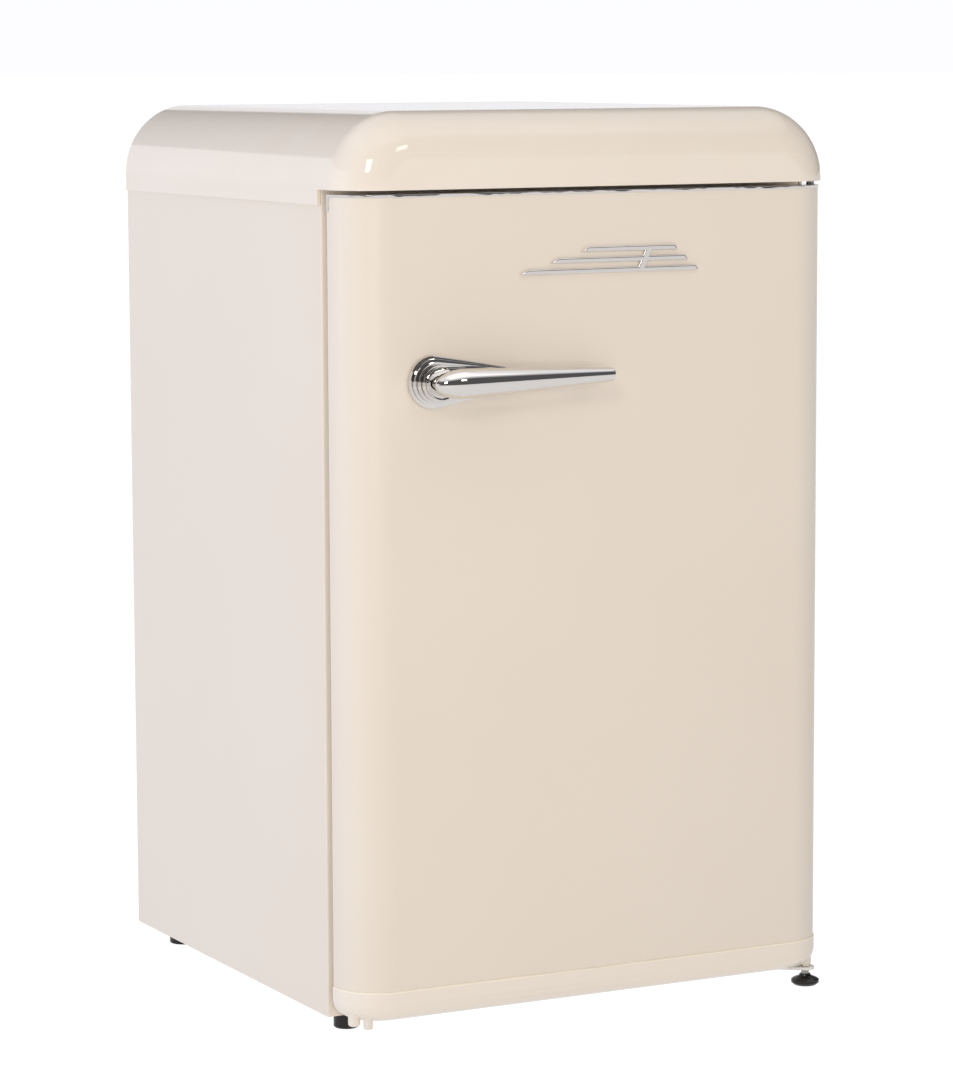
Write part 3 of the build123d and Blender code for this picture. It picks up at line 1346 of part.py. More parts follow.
def parts():
    """Every node's name and shape, drawn about the flange plane."""
    made = {
        "left_side_panel": mirror(right_side_panel(), about=Plane.YZ),
        "right_side_panel": right_side_panel(),
        "rear_panel": rear_panel(),
        "top_panel": top_panel(),
        "bottom_front_rail": bottom_front_rail(),
        "bay_panel": bay_panel(),
        "cabinet_foam": cabinet_foam(),
        "inner_liner": inner_liner(),
        "top_lid": top_lid(),
        "lid_soffit": lid_soffit(),
        "cabinet_screws": cabinet_screws(),
        "upper_hinge_bracket": upper_hinge_bracket(),
        "lower_hinge_bracket": lower_hinge_bracket(),
        "hinge_pins": hinge_pins(),
        "right_front_foot": right_front_foot(),
        "left_front_foot": left_front_foot(),
        "left_foot_stud": left_foot_stud(),
        "rear_feet": rear_feet(),
        "crisper_cover": shelf_glass(COVER_Z),
        "crisper_drawer": crisper_drawer(),
        "shelf_trims": shelf_trims(),
        "housing_cover": housing_cover(),
        "lamp_cover": lamp_window(),
        "lamp_bulb": lamp_bulb(),
        "control_block": control_block(),
        "thermostat_knob": thermostat_knob(),
        "door_switch": door_switch(),
        "switch_plunger": switch_plunger(),
        "evaporator": evaporator(),
        "condenser": group([condenser_coil(), *condenser_wires()]),
        "wall_spacers": wall_spacers(),
        "suction_tube": suction_tube(),
        "filter_dryer": filter_dryer(),
        "drain_tube": drain_tube(),
        "drip_tray": drip_tray(),
        "compressor_shell": compressor_shell(),
        "compressor_grommets": compressor_grommets(),
        "compressor_crossbar": compressor_crossbar(),
        "relay_cover": relay_cover(),
        "cord_gland": cord_gland(),
        "door_skin": door_skin(),
        "door_top_cap": door_top_cap(),
        "chrome_trim": chrome_trim(),
        "door_bottom_cap": door_bottom_cap(),
        "door_pegs": door_pegs(),
        "hinge_bushes": hinge_bushes(),
        "door_liner": door_liner(),
        "door_foam": door_foam(),
        "gasket": gasket(),
        "handle_rosette": handle_rosette(),
        "handle_lever": handle_lever(),
        "handle_screws": handle_screws(),
        "door_ornament": door_ornament(),
        "egg_rack": egg_rack(),
        "bottle_clip": bottle_clip(),
    }
    made.update({f"{name}_door_bin": door_bin(name) for name in BIN_ZS})
    made.update({f"{name}_shelf_glass": shelf_glass(z) for name, z in SHELF_ZS.items()})
    return made


def main():
    os.makedirs("parts", exist_ok=True)
    for name, shape in parts().items():
        export_step(Pos(0, SHIFT_Y, 0) * shape, f"parts/{name}.step")


main()
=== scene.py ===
import json
from math import cos, pi, radians, sin

import bmesh
import bpy
from mathutils import Matrix, Vector


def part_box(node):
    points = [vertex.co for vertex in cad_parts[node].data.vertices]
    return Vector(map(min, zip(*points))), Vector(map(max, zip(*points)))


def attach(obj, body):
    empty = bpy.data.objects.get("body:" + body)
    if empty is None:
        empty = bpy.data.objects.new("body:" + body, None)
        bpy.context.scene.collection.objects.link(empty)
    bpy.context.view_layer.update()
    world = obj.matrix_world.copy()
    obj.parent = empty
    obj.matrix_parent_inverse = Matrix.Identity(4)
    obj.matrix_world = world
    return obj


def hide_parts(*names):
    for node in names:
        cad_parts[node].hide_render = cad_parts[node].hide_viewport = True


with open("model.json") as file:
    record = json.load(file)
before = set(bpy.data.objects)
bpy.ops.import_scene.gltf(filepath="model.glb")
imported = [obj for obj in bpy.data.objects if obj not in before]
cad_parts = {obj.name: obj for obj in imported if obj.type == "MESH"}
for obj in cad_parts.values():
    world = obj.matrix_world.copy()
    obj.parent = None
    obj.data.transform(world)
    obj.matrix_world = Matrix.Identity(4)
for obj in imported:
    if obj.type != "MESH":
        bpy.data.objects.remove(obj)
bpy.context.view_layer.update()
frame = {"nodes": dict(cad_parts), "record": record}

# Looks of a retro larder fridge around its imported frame. Everything is in metres: +X to the
# right seen from the front, +Y to the back, +Z up, with the door facing -Y.

MM = 0.001
NODES = frame["nodes"]
LIP_HIGHLIGHT_H = 1.6 * MM  # height of the painted highlight along the lip at the top of the door's bottom cap


# Colours and shader nodes


def linear(colour):
    """A hex sRGB colour as linear RGBA."""
    values = [int(colour[i : i + 2], 16) / 255 for i in (0, 2, 4)]
    return [c / 12.92 if c <= 0.04045 else ((c + 0.055) / 1.055) ** 2.4 for c in values] + [1.0]


def per(size_mm):
    """A texture's scale for features of that many millimetres."""
    return 1 / (size_mm * MM)


def add(tree, kind, sockets=None, **settings):
    """Add a node, set its properties, and set or link its input sockets."""
    made = tree.nodes.new("ShaderNode" + kind)
    for name, value in settings.items():
        setattr(made, name, value)
    for socket, value in (sockets or {}).items():
        if isinstance(value, bpy.types.NodeSocket):
            tree.links.new(value, made.inputs[socket])
        else:
            made.inputs[socket].default_value = value
    return made


def noise(tree, place, size_mm, detail=2.0):
    """Soft noise with features of that many millimetres."""
    sockets = {"Vector": place, "Scale": per(size_mm), "Detail": detail}
    return add(tree, "TexNoise", sockets).outputs["Fac"]


def ramp(tree, value, source=(0.0, 1.0), target=(0.0, 1.0)):
    """A value mapped from one range to another, and held at the ends."""
    sockets = {
        "Value": value,
        "From Min": source[0],
        "From Max": source[1],
        "To Min": target[0],
        "To Max": target[1],
    }
    return add(tree, "MapRange", sockets).outputs["Result"]


def between(tree, share, first, second):
    """A number between two, by share."""
    return add(tree, "Mix", {0: share, 2: first, 3: second}).outputs[0]


def two_tone(tree, share, first, second):
    """A colour between two hex colours, by share."""
    sockets = {0: share, 6: linear(first), 7: linear(second)}
    return add(tree, "Mix", sockets, data_type="RGBA").outputs[2]


def relief(tree, height, strength, depth_mm, under=None):
    """A bumped normal, on top of another one where given."""
    sockets = {"Height": height, "Strength": strength, "Distance": depth_mm * MM}
    if under is not None:
        sockets["Normal"] = under
    return add(tree, "Bump", sockets).outputs["Normal"]


# Materials


def blank_material(name):
    """A new material and its empty node tree."""
    made = bpy.data.materials.new(name)
    made.use_nodes = True
    made.node_tree.nodes.clear()
    return made, made.node_tree


def start_material(name):
    """A new material, its empty node tree and its Object coordinates."""
    made, tree = blank_material(name)
    place = add(tree, "TexCoord").outputs["Object"]
    return made, tree, place


def end_material(made, tree, sockets):
    """Close a material with a Principled shader that has these sockets."""
    shader = add(tree, "BsdfPrincipled", sockets)
    add(tree, "OutputMaterial", {"Surface": shader.outputs["BSDF"]})
    return made


def gloss_enamel():
    """Baked cream gloss enamel on steel sheet: deep gloss with a faint orange peel, over
    sheet that is never quite flat, so long reflections waver."""
    made, tree, place = start_material("baked_cream_enamel")
    wave = relief(tree, noise(tree, place, 190, 1.0), 1.0, 0.5)
    sockets = {
        "Base Color": two_tone(tree, noise(tree, place, 240, 3.0), "E8DCCD", "ECE1D3"),
        "Roughness": 0.17,
        "IOR": 1.5,
        "Normal": relief(tree, noise(tree, place, 2.2), 0.35, 0.02, under=wave),
    }
    return end_material(made, tree, sockets)


def gloss_abs():
    """Cream ABS, injection moulded in a polished tool: even colour, high gloss and the
    faintest flow waviness."""
    made, tree, place = start_material("moulded_cream_abs")
    flow = noise(tree, place, 60)
    sockets = {
        "Base Color": two_tone(tree, flow, "EEE2D3", "F1E7DA"),
        "Roughness": 0.07,
        "IOR": 1.52,
        "Normal": relief(tree, flow, 0.5, 0.04),
    }
    return end_material(made, tree, sockets)


def abs_with_painted_lip_highlight():
    """The cap's cream ABS, with a paler, yellower band painted along its lip: a painted highlight
    that stands for the light the lip's top catches."""
    made, tree, place = start_material("moulded_cream_abs_with_painted_lip_highlight")
    height = add(tree, "SeparateXYZ", {0: place}).outputs["Z"]
    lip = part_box("door_bottom_cap")[1].z - LIP_HIGHLIGHT_H
    blur = 0.1 * MM
    # painted highlight: above the lip's lower edge the colour turns paler and yellower, as if the
    # lip caught the light
    painted_highlight = ramp(tree, height, source=(lip - blur, lip + blur))
    sockets = {
        "Base Color": two_tone(tree, painted_highlight, "F0E5D7", "FAEFDB"),
        "Roughness": 0.14,
        "IOR": 1.52,
    }
    return end_material(made, tree, sockets)


def simple(name, colour, roughness, ior=1.5, metallic=0.0, grain_mm=1.5, bump_mm=0.02, more=None):
    """A finish of one colour, with a fine grain in its gloss and its relief."""
    made, tree, place = start_material(name)
    grain = noise(tree, place, grain_mm, 3.0)
    sockets = {
        "Base Color": linear(colour),
        "Roughness": ramp(tree, grain, target=(roughness * 0.85, min(1.0, roughness * 1.15))),
        "Metallic": metallic,
        "Normal": relief(tree, grain, 0.5, bump_mm),
        **(more or {}),
    }
    if not metallic:
        sockets["IOR"] = ior
    return end_material(made, tree, sockets)


def galvanised_sheet():
    """Hot-dip galvanised steel: zinc freezes in flat crystals of about a centimetre, each
    with its own grey and its own gloss."""
    made, tree, place = start_material("galvanised_steel")
    spangle = add(tree, "TexVoronoi", {"Vector": place, "Scale": per(11)}).outputs["Color"]
    tone = add(tree, "SeparateXYZ", {0: spangle}).outputs["X"]
    sockets = {
        "Base Color": two_tone(tree, tone, "A9ADB0", "C4C7C9"),
        "Roughness": ramp(tree, tone, target=(0.32, 0.46)),
        "Metallic": 1.0,
    }
    return end_material(made, tree, sockets)


def drawn_copper():
    """Drawn copper tube, brazed in place: bright where it was polished by the die, browner
    where the flame and the air have oxidised it."""
    made, tree, place = start_material("drawn_copper_tube")
    stain = ramp(tree, noise(tree, place, 35, 4.0), source=(0.45, 0.62))
    sockets = {
        "Base Color": two_tone(tree, stain, "CB8160", "8A5239"),
        "Roughness": ramp(tree, stain, target=(0.24, 0.45)),
        "Metallic": 1.0,
    }
    return end_material(made, tree, sockets)


def formed_liner():
    """White high-impact polystyrene, vacuum formed: soft gloss and a slow ripple where the
    hot sheet was drawn over the mould."""
    made, tree, place = start_material("vacuum_formed_polystyrene")
    ripple = relief(tree, noise(tree, place, 70, 1.0), 1.0, 0.3)
    sockets = {
        "Base Color": linear("F2F2F0"),
        "Roughness": 0.27,
        "IOR": 1.57,
        "Normal": relief(tree, noise(tree, place, 1.2), 0.4, 0.02, under=ripple),
    }
    return end_material(made, tree, sockets)


def stoved_black():
    """Black stoving paint on the compressor and the condenser: satin, with the dust of a
    warm kitchen settled in soft patches."""
    made, tree, place = start_material("stoved_black_paint")
    dust = ramp(tree, noise(tree, place, 28, 5.0), source=(0.45, 0.75))
    sockets = {
        "Base Color": two_tone(tree, dust, "111112", "2B2A28"),
        "Roughness": ramp(tree, dust, target=(0.26, 0.6)),
        "IOR": 1.5,
    }
    return end_material(made, tree, sockets)


def set_foam():
    """Rigid polyurethane foam, poured and left to set: fine closed cells under a pale
    yellow skin."""
    made, tree, place = start_material("rigid_polyurethane_foam")
    cells = add(tree, "TexVoronoi", {"Vector": place, "Scale": per(1.5)}).outputs["Distance"]
    sockets = {
        "Base Color": two_tone(tree, noise(tree, place, 50), "D2BB7C", "E2CF98"),
        "Roughness": 0.95,
        "Normal": relief(tree, cells, 0.8, 0.4),
    }
    return end_material(made, tree, sockets)


def strip_chrome():
    """Bright chrome on a thin rolled strip: the strip is never straight, so its reflections
    break into short dark and white runs."""
    made, tree, place = start_material("rolled_strip_chrome")
    sockets = {
        "Base Color": linear("E9E6E3"),
        "Roughness": 0.06,
        "Metallic": 1.0,
        "Normal": relief(tree, noise(tree, place, 26), 1.0, 1.6),
    }
    return end_material(made, tree, sockets)


def clear_polystyrene():
    """Clear polystyrene, injection moulded in thin walls: straight view through, sharp
    reflections that grow at the edges, and a trace of milkiness."""
    made, tree = blank_material("clear_polystyrene")
    facing = add(tree, "LayerWeight", {"Blend": 0.5}).outputs["Facing"]
    rim = add(tree, "Math", {0: facing, 1: 4.0}, operation="POWER").outputs[0]
    edge = ramp(tree, rim, target=(0.05, 0.75))
    through = add(tree, "BsdfTransparent", {"Color": linear("FDFEFE")}).outputs["BSDF"]
    mirror = add(tree, "BsdfGlossy", {"Color": linear("FFFFFF"), "Roughness": 0.06})
    wall = add(tree, "MixShader", {0: edge, 1: through, 2: mirror.outputs["BSDF"]})
    milk = add(tree, "BsdfDiffuse", {"Color": linear("F1F5F7")}).outputs["BSDF"]
    body = add(tree, "MixShader", {0: 0.10, 1: wall.outputs["Shader"], 2: milk})
    add(tree, "OutputMaterial", {"Surface": body.outputs["Shader"]})
    return made


MATERIALS = {
    "cream_paint": gloss_enamel(),
    "cream_plastic": gloss_abs(),
    "zinc_sheet": galvanised_sheet(),
    # White enamel dipped and baked on thin steel: a soft, slightly uneven gloss
    "white_paint": simple("white_enamelled_steel", "E9E7E2", 0.3),
    "white_plastic": formed_liner(),
    # Acetal moulded in a spark-eroded tool: cream, waxy, with a fine skin
    "white_peg": simple("cream_acetal", "EBE2D5", 0.3),
    "foam": set_foam(),
    # Chrome plated over polished die-cast metal: a clear mirror with a slow waviness
    "chrome": simple("chrome_plate", "E6E3DF", 0.05, metallic=1.0, grain_mm=30, bump_mm=0.02),
    # Zinc plated and passivated steel: a grey, slightly matt metal
    "zinc_plate": simple("zinc_plated_steel", "A3A29E", 0.26, metallic=1.0),
    # Polypropylene moulded in a plain tool: warm black with a soft sheen
    "black_plastic": simple("black_polypropylene", "120E0C", 0.26),
    "black_paint": stoved_black(),
    # Cured rubber, which scatters nearly all light: dull black
    "rubber": simple("black_rubber", "1A1A1A", 0.7),
    # Extruded soft PVC: warm grey with the dull skin that the die leaves
    "gasket": simple("soft_pvc", "D2C8BC", 0.5),
    # Float glass, toughened, with ground edges: clear, with a trace of green
    "clear_glass": simple(
        "toughened_glass", "EAF6F0", 0.02, more={"Transmission Weight": 1.0}, bump_mm=0.0
    ),
    "clear_plastic": clear_polystyrene(),
    # Blown glass, frosted inside: light comes through, but no picture
    "lamp_glass": simple("lamp_glass", "F6F3EA", 0.25, more={"Transmission Weight": 0.8}),
    "copper": drawn_copper(),
    # Rolled aluminium, left as it comes off the mill: pale satin metal
    "aluminium": simple("aluminium_sheet", "C9CBCD", 0.35, metallic=1.0),
    # Polypropylene with pigment, textured in the tool: an even, matt mid grey
    "grey_plastic": simple("grey_polypropylene", "6B6C6E", 0.5),
}

for subpart in frame["record"]["subparts"]:
    for slot in NODES[subpart["node"]].material_slots:
        slot.material = MATERIALS[subpart["material_slot"]]

SLOT_OF = {part["node"]: part["material_slot"] for part in frame["record"]["subparts"]}
BODY_OF = {
    node: body for body, nodes in frame["record"]["behaviour"]["bodies"].items() for node in nodes
}


# Making pieces

FLAT = radians(0.5)  # faces nearer in angle than this are one flat face
SHARP = radians(40)  # edges sharper than this are shaded as edges


def merged_copy(node):
    """A CAD node's form with its doubles merged and its flat faces whole again."""
    shape = bmesh.new()
    shape.from_mesh(NODES[node].data)
    bmesh.ops.remove_doubles(shape, verts=shape.verts, dist=0.004 * MM)
    bmesh.ops.dissolve_limit(shape, angle_limit=FLAT, verts=shape.verts, edges=shape.edges)
    return shape


def round_edges(shape, width_mm, segments=2, least=38):
    """Round the edges of a shape that are sharper than an angle in degrees."""
    limit = radians(least)
    sharp = [e for e in shape.edges if e.is_manifold and e.calc_face_angle() > limit]
    bmesh.ops.bevel(
        shape,
        geom=sharp,
        offset=width_mm * MM,
        segments=segments,
        profile=0.5,
        affect="EDGES",
        material=-1,
        clamp_overlap=True,
    )


def piece(name, shape, body, slot, material=None, stands_for=()):
    """Turn a shape into a finished piece of the object, which uses the shape up."""
    bmesh.ops.recalc_face_normals(shape, faces=shape.faces)
    mesh = bpy.data.meshes.new(name)
    shape.to_mesh(mesh)
    shape.free()
    mesh.shade_smooth()
    mesh.set_sharp_from_angle(angle=SHARP)
    made = bpy.data.objects.new(name, mesh)
    bpy.context.scene.collection.objects.link(made)
    mesh.materials.append(material or MATERIALS[slot])
    even = made.modifiers.new("even_shading", "WEIGHTED_NORMAL")
    even.keep_sharp = True
    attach(made, body)
    if stands_for:
        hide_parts(*stands_for)


def put(shape, matrix, verts):
    """Move points of a shape to their place."""
    bmesh.ops.transform(shape, matrix=matrix, verts=verts)


def rod(shape, start, end, radius, sides=48):
    """Add a closed round rod from one point to another."""
    start, end = Vector(start), Vector(end)
    axis = end - start
    made = bmesh.ops.create_cone(
        shape,
        cap_ends=True,
        segments=sides,
        radius1=radius,
        radius2=radius,
        depth=axis.length,
    )
    turn = axis.to_track_quat("Z", "Y").to_matrix().to_4x4()
    put(shape, Matrix.Translation((start + end) / 2) @ turn, made["verts"])


def turned(shape, profile, sides):
    """Spin a profile of (distance from the axis, height) points about Z."""
    ring = [shape.verts.new((radius, 0, height)) for radius, height in profile]
    edges = [shape.edges.new(pair) for pair in zip(ring, ring[1:])]
    bmesh.ops.spin(
        shape,
        geom=ring + edges,
        cent=(0, 0, 0),
        axis=(0, 0, 1),
        angle=2 * pi,
        steps=sides,
        use_merge=True,
    )


def softened(node, width_mm, material=None):
    """A CAD node with rounded edges, as moulded, pressed or ground parts have."""
    shape = merged_copy(node)
    round_edges(shape, width_mm)
    name = "finished_" + node
    piece(name, shape, BODY_OF[node], SLOT_OF[node], material, stands_for=[node])


# Width in mm of each CAD node's rounded edges: wide on moulded plastic and soft PVC, narrow
# on pressed steel, ground glass in between.
SOFT_EDGES = {
    "top_lid": 0.8,
    "lid_soffit": 0.4,
    "left_side_panel": 0.3,
    "right_side_panel": 0.3,
    "inner_liner": 0.6,
    "door_liner": 1.2,
    "door_skin": 0.3,
    "gasket": 1.5,
    "crisper_cover": 0.5,
    "lower_shelf_glass": 0.5,
    "upper_shelf_glass": 0.5,
    "crisper_drawer": 0.6,
    "lower_door_bin": 0.6,
    "middle_door_bin": 0.6,
    "upper_door_bin": 0.6,
    "egg_rack": 0.5,
    "bottle_clip": 0.5,
    "shelf_trims": 0.5,
    "housing_cover": 0.7,
    "control_block": 0.5,
    "door_switch": 0.6,
    "drip_tray": 0.5,
    "relay_cover": 1.5,
    "compressor_crossbar": 0.3,
    "lower_hinge_bracket": 0.3,
    "upper_hinge_bracket": 0.3,
    "wall_spacers": 0.6,
    "cord_gland": 0.6,
    "rear_feet": 1.2,
}
for node, width in SOFT_EDGES.items():
    softened(node, width)
softened("chrome_trim", 0.35, strip_chrome())
softened("door_bottom_cap", 0.4, abs_with_painted_lip_highlight())


# Handle

GRIP_R = 14.7 * MM  # at its widest
GRIP_TIP_R = 6.8 * MM
GRIP_NOSE = 31 * MM  # from the nose to the widest place
GRIP_TAPER = 1.2  # power of the taper: 1 is a straight cone, more is a fuller grip
GRIP_SET = 4 * MM  # nose inside the CAD bar's round end
GRIP_DROP = 0.5 * MM  # nose below the middle of the CAD lever
GRIP_RISE = 3 * MM  # tip above the nose
TIP_ROLL = 2.2 * MM
POST_IN = 16 * MM  # post in from the tip
POST_R = 4.5 * MM


def shares(steps):
    """Even shares from just above 0 to 1."""
    return [n / steps for n in range(1, steps + 1)]


def grip_profile(length):
    """The grip's outline from its elliptical nose to its blunt tip."""
    nose = [
        (GRIP_R * sin(t * pi / 2), GRIP_NOSE * (1 - cos(t * pi / 2))) for t in [0.0] + shares(18)
    ]
    run = length - TIP_ROLL - GRIP_NOSE
    taper = [
        (GRIP_R + (GRIP_TIP_R - GRIP_R) * t**GRIP_TAPER, GRIP_NOSE + run * t) for t in shares(24)
    ]
    tip = [
        (GRIP_TIP_R - TIP_ROLL * (1 - cos(t * pi / 2)), length - TIP_ROLL * (1 - sin(t * pi / 2)))
        for t in shares(6)
    ]
    return nose + taper + tip + [(0, length)]


def handle_lever():
    """Chromed die-cast grip with its post to the door."""
    low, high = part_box("handle_lever")
    half = (high.z - low.z) / 2
    nose = Vector((low.x + GRIP_SET, low.y + half, low.z + half - GRIP_DROP))
    length = high.x - nose.x
    shape = bmesh.new()
    turned(shape, grip_profile(length), sides=72)
    lean = Matrix.Rotation(-GRIP_RISE / length, 4, "Y")
    lay = Matrix.Rotation(pi / 2, 4, "Y")
    put(shape, Matrix.Translation(nose) @ lean @ lay, shape.verts)
    post = Vector((high.x - POST_IN, nose.y, nose.z + GRIP_RISE))
    rod(shape, post, (post.x, high.y, post.z), POST_R)
    bmesh.ops.remove_doubles(shape, verts=shape.verts, dist=0.01 * MM)
    piece("chromed_grip", shape, "door", "chrome", stands_for=["handle_lever"])


RINGS = 5
RING_IN = 2.5 * MM  # each ring inside the one behind it
RING_ROLL = 1.1  # mm
GROOVE_W = 1.5 * MM  # undercut between two rings
GROOVE_DEPTH = 1.4 * MM
TAIL_R = 11.0 * MM
TAIL_IN = 0.5 * MM  # each ring's tail inside the one behind it
TAIL_RISE = 1 * MM
TAIL_RINGS = 2.6  # thickness of the rear ring's tail, in rings
TAIL_STEP = 0.25  # how much thicker the next ring's tail is
CUP_DEPTH = 9 * MM
CUP_RIM = 1.5 * MM


def tear_ring(head, tail, spans, radii, cup=0.0):
    """One ring of the rosette: a hull over two discs, with rolled rims and maybe a cup."""
    ring = bmesh.new()
    for centre, span, radius in zip((head, tail), spans, radii):
        rod(ring, (centre.x, span[0], centre.z), (centre.x, span[1], centre.z), radius, sides=96)
    hull = bmesh.ops.convex_hull(ring, input=ring.verts)
    inner = [v for v in hull["geom_interior"] if isinstance(v, bmesh.types.BMVert)]
    bmesh.ops.delete(ring, geom=inner, context="VERTS")
    bmesh.ops.dissolve_limit(ring, angle_limit=FLAT, verts=ring.verts, edges=ring.edges)
    if cup:
        front = max((f for f in ring.faces if f.normal.y < -0.8), key=lambda f: f.calc_area())
        bmesh.ops.inset_region(ring, faces=[front], thickness=CUP_RIM)
        bmesh.ops.translate(ring, vec=(0, cup, 0), verts=front.verts)
    round_edges(ring, RING_ROLL, segments=5, least=50)
    return ring


def joined(shapes):
    """Several shapes in one, which are used up."""
    whole = bmesh.new()
    for shape in shapes:
        mesh = bpy.data.meshes.new("part")
        shape.to_mesh(mesh)
        shape.free()
        whole.from_mesh(mesh)
        bpy.data.meshes.remove(mesh)
    return whole


def handle_rosette():
    """Rolled rings stepped towards the grip, with a groove behind each, which fade into one
    tail; the front ring is hollowed around the grip's nose."""
    low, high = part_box("handle_rosette")
    radius = (high.z - low.z) / 2
    head = Vector((low.x + radius, 0, low.z + radius))
    tail = Vector((high.x - TAIL_R, 0, head.z + TAIL_RISE))
    thick = (high.y - low.y) / RINGS
    rings = []
    for n in range(RINGS):
        front = high.y - (n + 1) * thick
        head_span = (front + thick - GROOVE_W, front)
        tail_span = (high.y, high.y - (TAIL_RINGS + n * TAIL_STEP) * thick)
        radii = (radius - n * RING_IN, TAIL_R - n * TAIL_IN)
        cup = CUP_DEPTH if n == RINGS - 1 else 0
        rings.append(tear_ring(head, tail, (head_span, tail_span), radii, cup))
        if n:
            core_span = (high.y, front + thick / 2)
            core_radii = [size - GROOVE_DEPTH for size in radii]
            rings.append(tear_ring(head, tail, (core_span, tail_span), core_radii))
    piece("ringed_rosette", joined(rings), "door", "chrome", stands_for=["handle_rosette"])


# Door ornament and thermostat dial

BAR_ROLL = 2.2  # mm, rounds the ornament's bars over their whole front


def ornament():
    """Chromed speed-line ornament with half-round bars."""
    shape = merged_copy("door_ornament")
    round_edges(shape, BAR_ROLL, segments=4, least=45)
    piece("speed_line_ornament", shape, "door", "chrome", stands_for=["door_ornament"])


DIAL_MARKS = 8
DIAL_SPAN = 280  # degrees that the knob turns
DIAL_R = 22.5 * MM
MARK = Vector((0.6, 1.0, 5.0)) * MM  # a stroke's thickness, width and length


def dial_marks():
    """Raised strokes on the housing, around the thermostat knob."""
    low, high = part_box("thermostat_knob")
    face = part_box("housing_cover")[0].x
    middle = Vector((face, (low.y + high.y) / 2, (low.z + high.z) / 2))
    shape = bmesh.new()
    for n in range(DIAL_MARKS):
        turn = radians(DIAL_SPAN * (n / (DIAL_MARKS - 1) - 0.5))
        place = middle + Vector((0, sin(turn), cos(turn))) * DIAL_R
        stroke = bmesh.ops.create_cube(shape, size=1.0)["verts"]
        lay = Matrix.Rotation(-turn, 4, "X") @ Matrix.Diagonal((*MARK, 1))
        put(shape, Matrix.Translation(place) @ lay, stroke)
    piece("dial_marks", shape, BODY_OF["housing_cover"], "grey_plastic")


handle_lever()
handle_rosette()
ornament()
dial_marks()


# Studio

AIM = (0, 0, 0.45)  # middle of the fridge
FLOOR_R = 150.0  # far enough for its rim to be out of sight
FLOOR_GLOW = (0.86, 1.12)  # as light on the fridge, and straight in the lens
FLOOR_SHARE = (0.80, 0.92)  # of the paper's brightness that is glow, in the same two cases

# The room around the floor. Its heights are those of a direction of length 1, and its sides
# are that direction's nearness to SCREEN_WAY.
SCREEN_WAY = (-0.5, 0.87, 0)  # to the back and the left
SCREEN_TOP = (0.285, 0.265)
SCREEN_SIDE = (0.15, 0.5)
SCREEN_GLOW = 0.95
ROOM_SIDE = (-0.3, 0.3)
ROOM_GLOW = (0.10, 0.13)  # in front of the door, and behind the fridge
CEILING_EDGE = (0.6, 0.78)
CEILING_GLOW = 0.96
SKY_SEEN = 1.02  # straight in the lens


def sweep_paper():
    """White paper sweep lit from behind: it glows almost evenly, so only a trace of the
    object's contact shadow is left in it."""
    made, tree = blank_material("backlit_white_paper")
    seen = add(tree, "LightPath").outputs["Is Camera Ray"]
    level = between(tree, seen, *FLOOR_GLOW)
    glow = add(tree, "Emission", {"Color": linear("FEFDFE"), "Strength": level}).outputs[0]
    paper = add(tree, "BsdfDiffuse", {"Color": linear("F6F6F6")}).outputs["BSDF"]
    both = add(tree, "MixShader", {0: between(tree, seen, *FLOOR_SHARE), 1: paper, 2: glow})
    add(tree, "OutputMaterial", {"Surface": both.outputs["Shader"]})
    return made


def studio_floor():
    """A wide white floor."""
    shape = bmesh.new()
    bmesh.ops.create_circle(shape, cap_ends=True, segments=96, radius=FLOOR_R)
    mesh = bpy.data.meshes.new("studio_floor")
    shape.to_mesh(mesh)
    shape.free()
    made = bpy.data.objects.new("studio_floor", mesh)
    bpy.context.scene.collection.objects.link(made)
    made.data.materials.append(sweep_paper())


def area_light(name, place, size, power, colour, mirrored=True):
    """A rectangular soft light turned to the fridge, and seen in gloss or not."""
    light = bpy.data.lights.new(name, "AREA")
    light.shape = "RECTANGLE"
    light.size, light.size_y = size
    light.energy = power
    light.color = linear(colour)[:3]
    made = bpy.data.objects.new(name, light)
    made.location = place
    made.visible_glossy = mirrored
    made.rotation_euler = (Vector(AIM) - Vector(place)).to_track_quat("-Z", "Y").to_euler()
    bpy.context.scene.collection.objects.link(made)


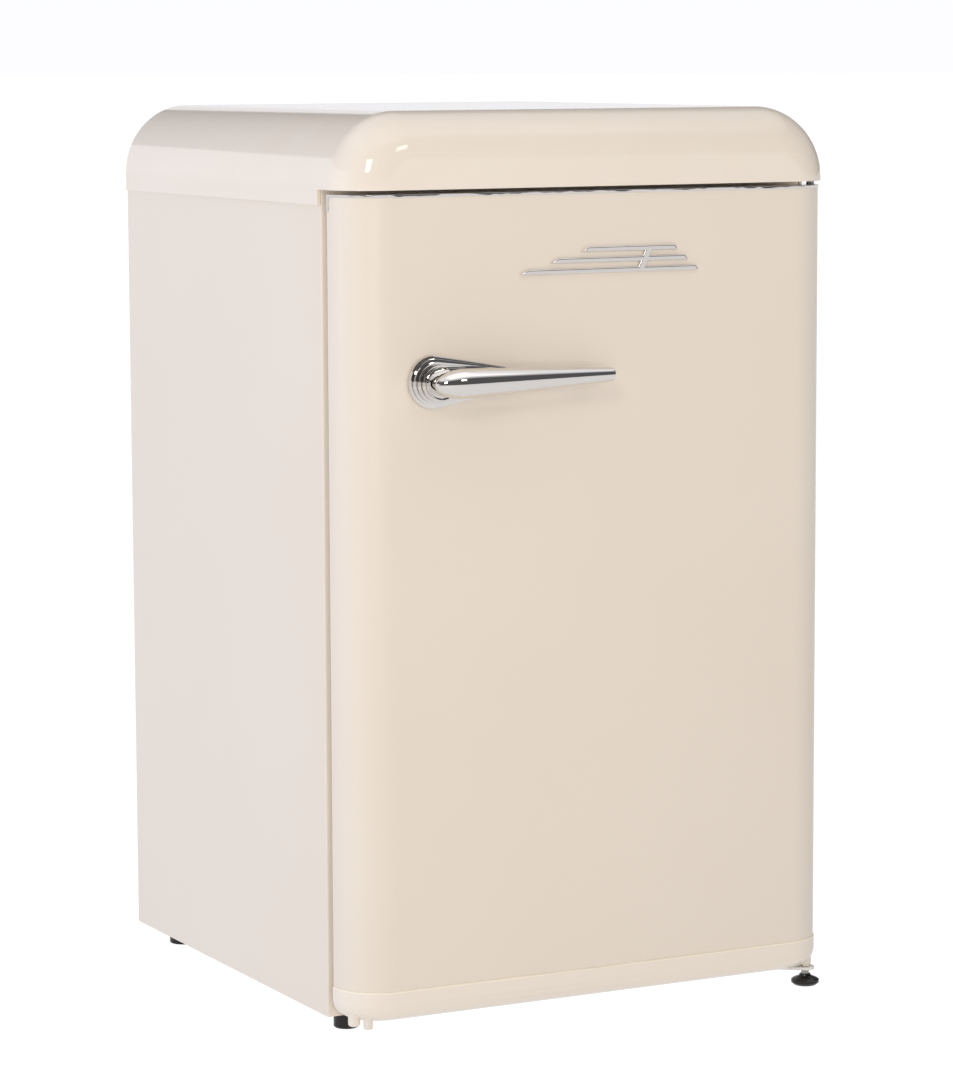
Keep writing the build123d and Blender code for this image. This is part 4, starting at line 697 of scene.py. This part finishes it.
def studio_world():
    """A low white screen around the back and the left, in a dim room with a bright ceiling."""
    world = bpy.data.worlds.new("studio_world")
    world.use_nodes = True
    tree = world.node_tree
    tree.nodes.clear()
    way = add(tree, "TexCoord").outputs["Generated"]
    height = add(tree, "SeparateXYZ", {0: way}).outputs["Z"]
    low = ramp(tree, height, source=SCREEN_TOP)
    towards = Vector(SCREEN_WAY).normalized()
    side = add(tree, "VectorMath", {0: way, 1: towards}, operation="DOT_PRODUCT").outputs["Value"]
    behind = ramp(tree, side, source=SCREEN_SIDE)
    screen = add(tree, "Math", {0: low, 1: behind}, operation="MULTIPLY").outputs[0]
    room = ramp(tree, side, source=ROOM_SIDE, target=ROOM_GLOW)
    sky = ramp(tree, height, source=CEILING_EDGE, target=(room, CEILING_GLOW))
    level = between(tree, screen, sky, SCREEN_GLOW)
    seen = add(tree, "LightPath").outputs["Is Camera Ray"]
    strength = between(tree, seen, level, SKY_SEEN)
    colour = add(tree, "Background", {"Color": linear("FBFBFF"), "Strength": strength})
    add(tree, "OutputWorld", {"Surface": colour.outputs["Background"]})
    bpy.context.scene.world = world


LENS_MM = 129.8
CAMERA_PLACE = (-1.8699, -3.6104, 0.9698)
CAMERA_TURN = 27.33  # degrees right of straight ahead
CAMERA_DIP = 7.17  # degrees below level
CAMERA_ROLL = 0.24  # degrees


def camera():
    """Long lens from the front left, a little above the lid."""
    lens = bpy.data.cameras.new("camera")
    lens.lens = LENS_MM
    made = bpy.data.objects.new("camera", lens)
    made.location = CAMERA_PLACE
    turn = Matrix.Rotation(radians(-CAMERA_TURN), 4, "Z")
    turn = turn @ Matrix.Rotation(radians(90 - CAMERA_DIP), 4, "X")
    turn = turn @ Matrix.Rotation(radians(-CAMERA_ROLL), 4, "Z")
    made.rotation_euler = turn.to_euler()
    bpy.context.scene.collection.objects.link(made)
    bpy.context.scene.camera = made


studio_floor()
studio_world()
area_light("left_softbox", (-3.0, 1.0, 0.9), (1.6, 1.5), 30, "D4E2FF", mirrored=False)
area_light("overhead_softbox", (0.2, -0.9, 3.3), (2.4, 2.0), 5, "FFFDFA")
area_light("front_softbox", (-1.2, -3.1, 0.8), (1.2, 1.2), 26, "FFFAF4", mirrored=False)
area_light("corner_lamp_left", (-2.3, -3.15, 2.5), (0.8, 1.1), 26, "FFF8F0")
area_light("corner_lamp_right", (0.85, -3.6, 2.8), (0.7, 0.55), 8, "FFF8F0")
camera()
bpy.context.scene.view_settings.view_transform = "Standard"
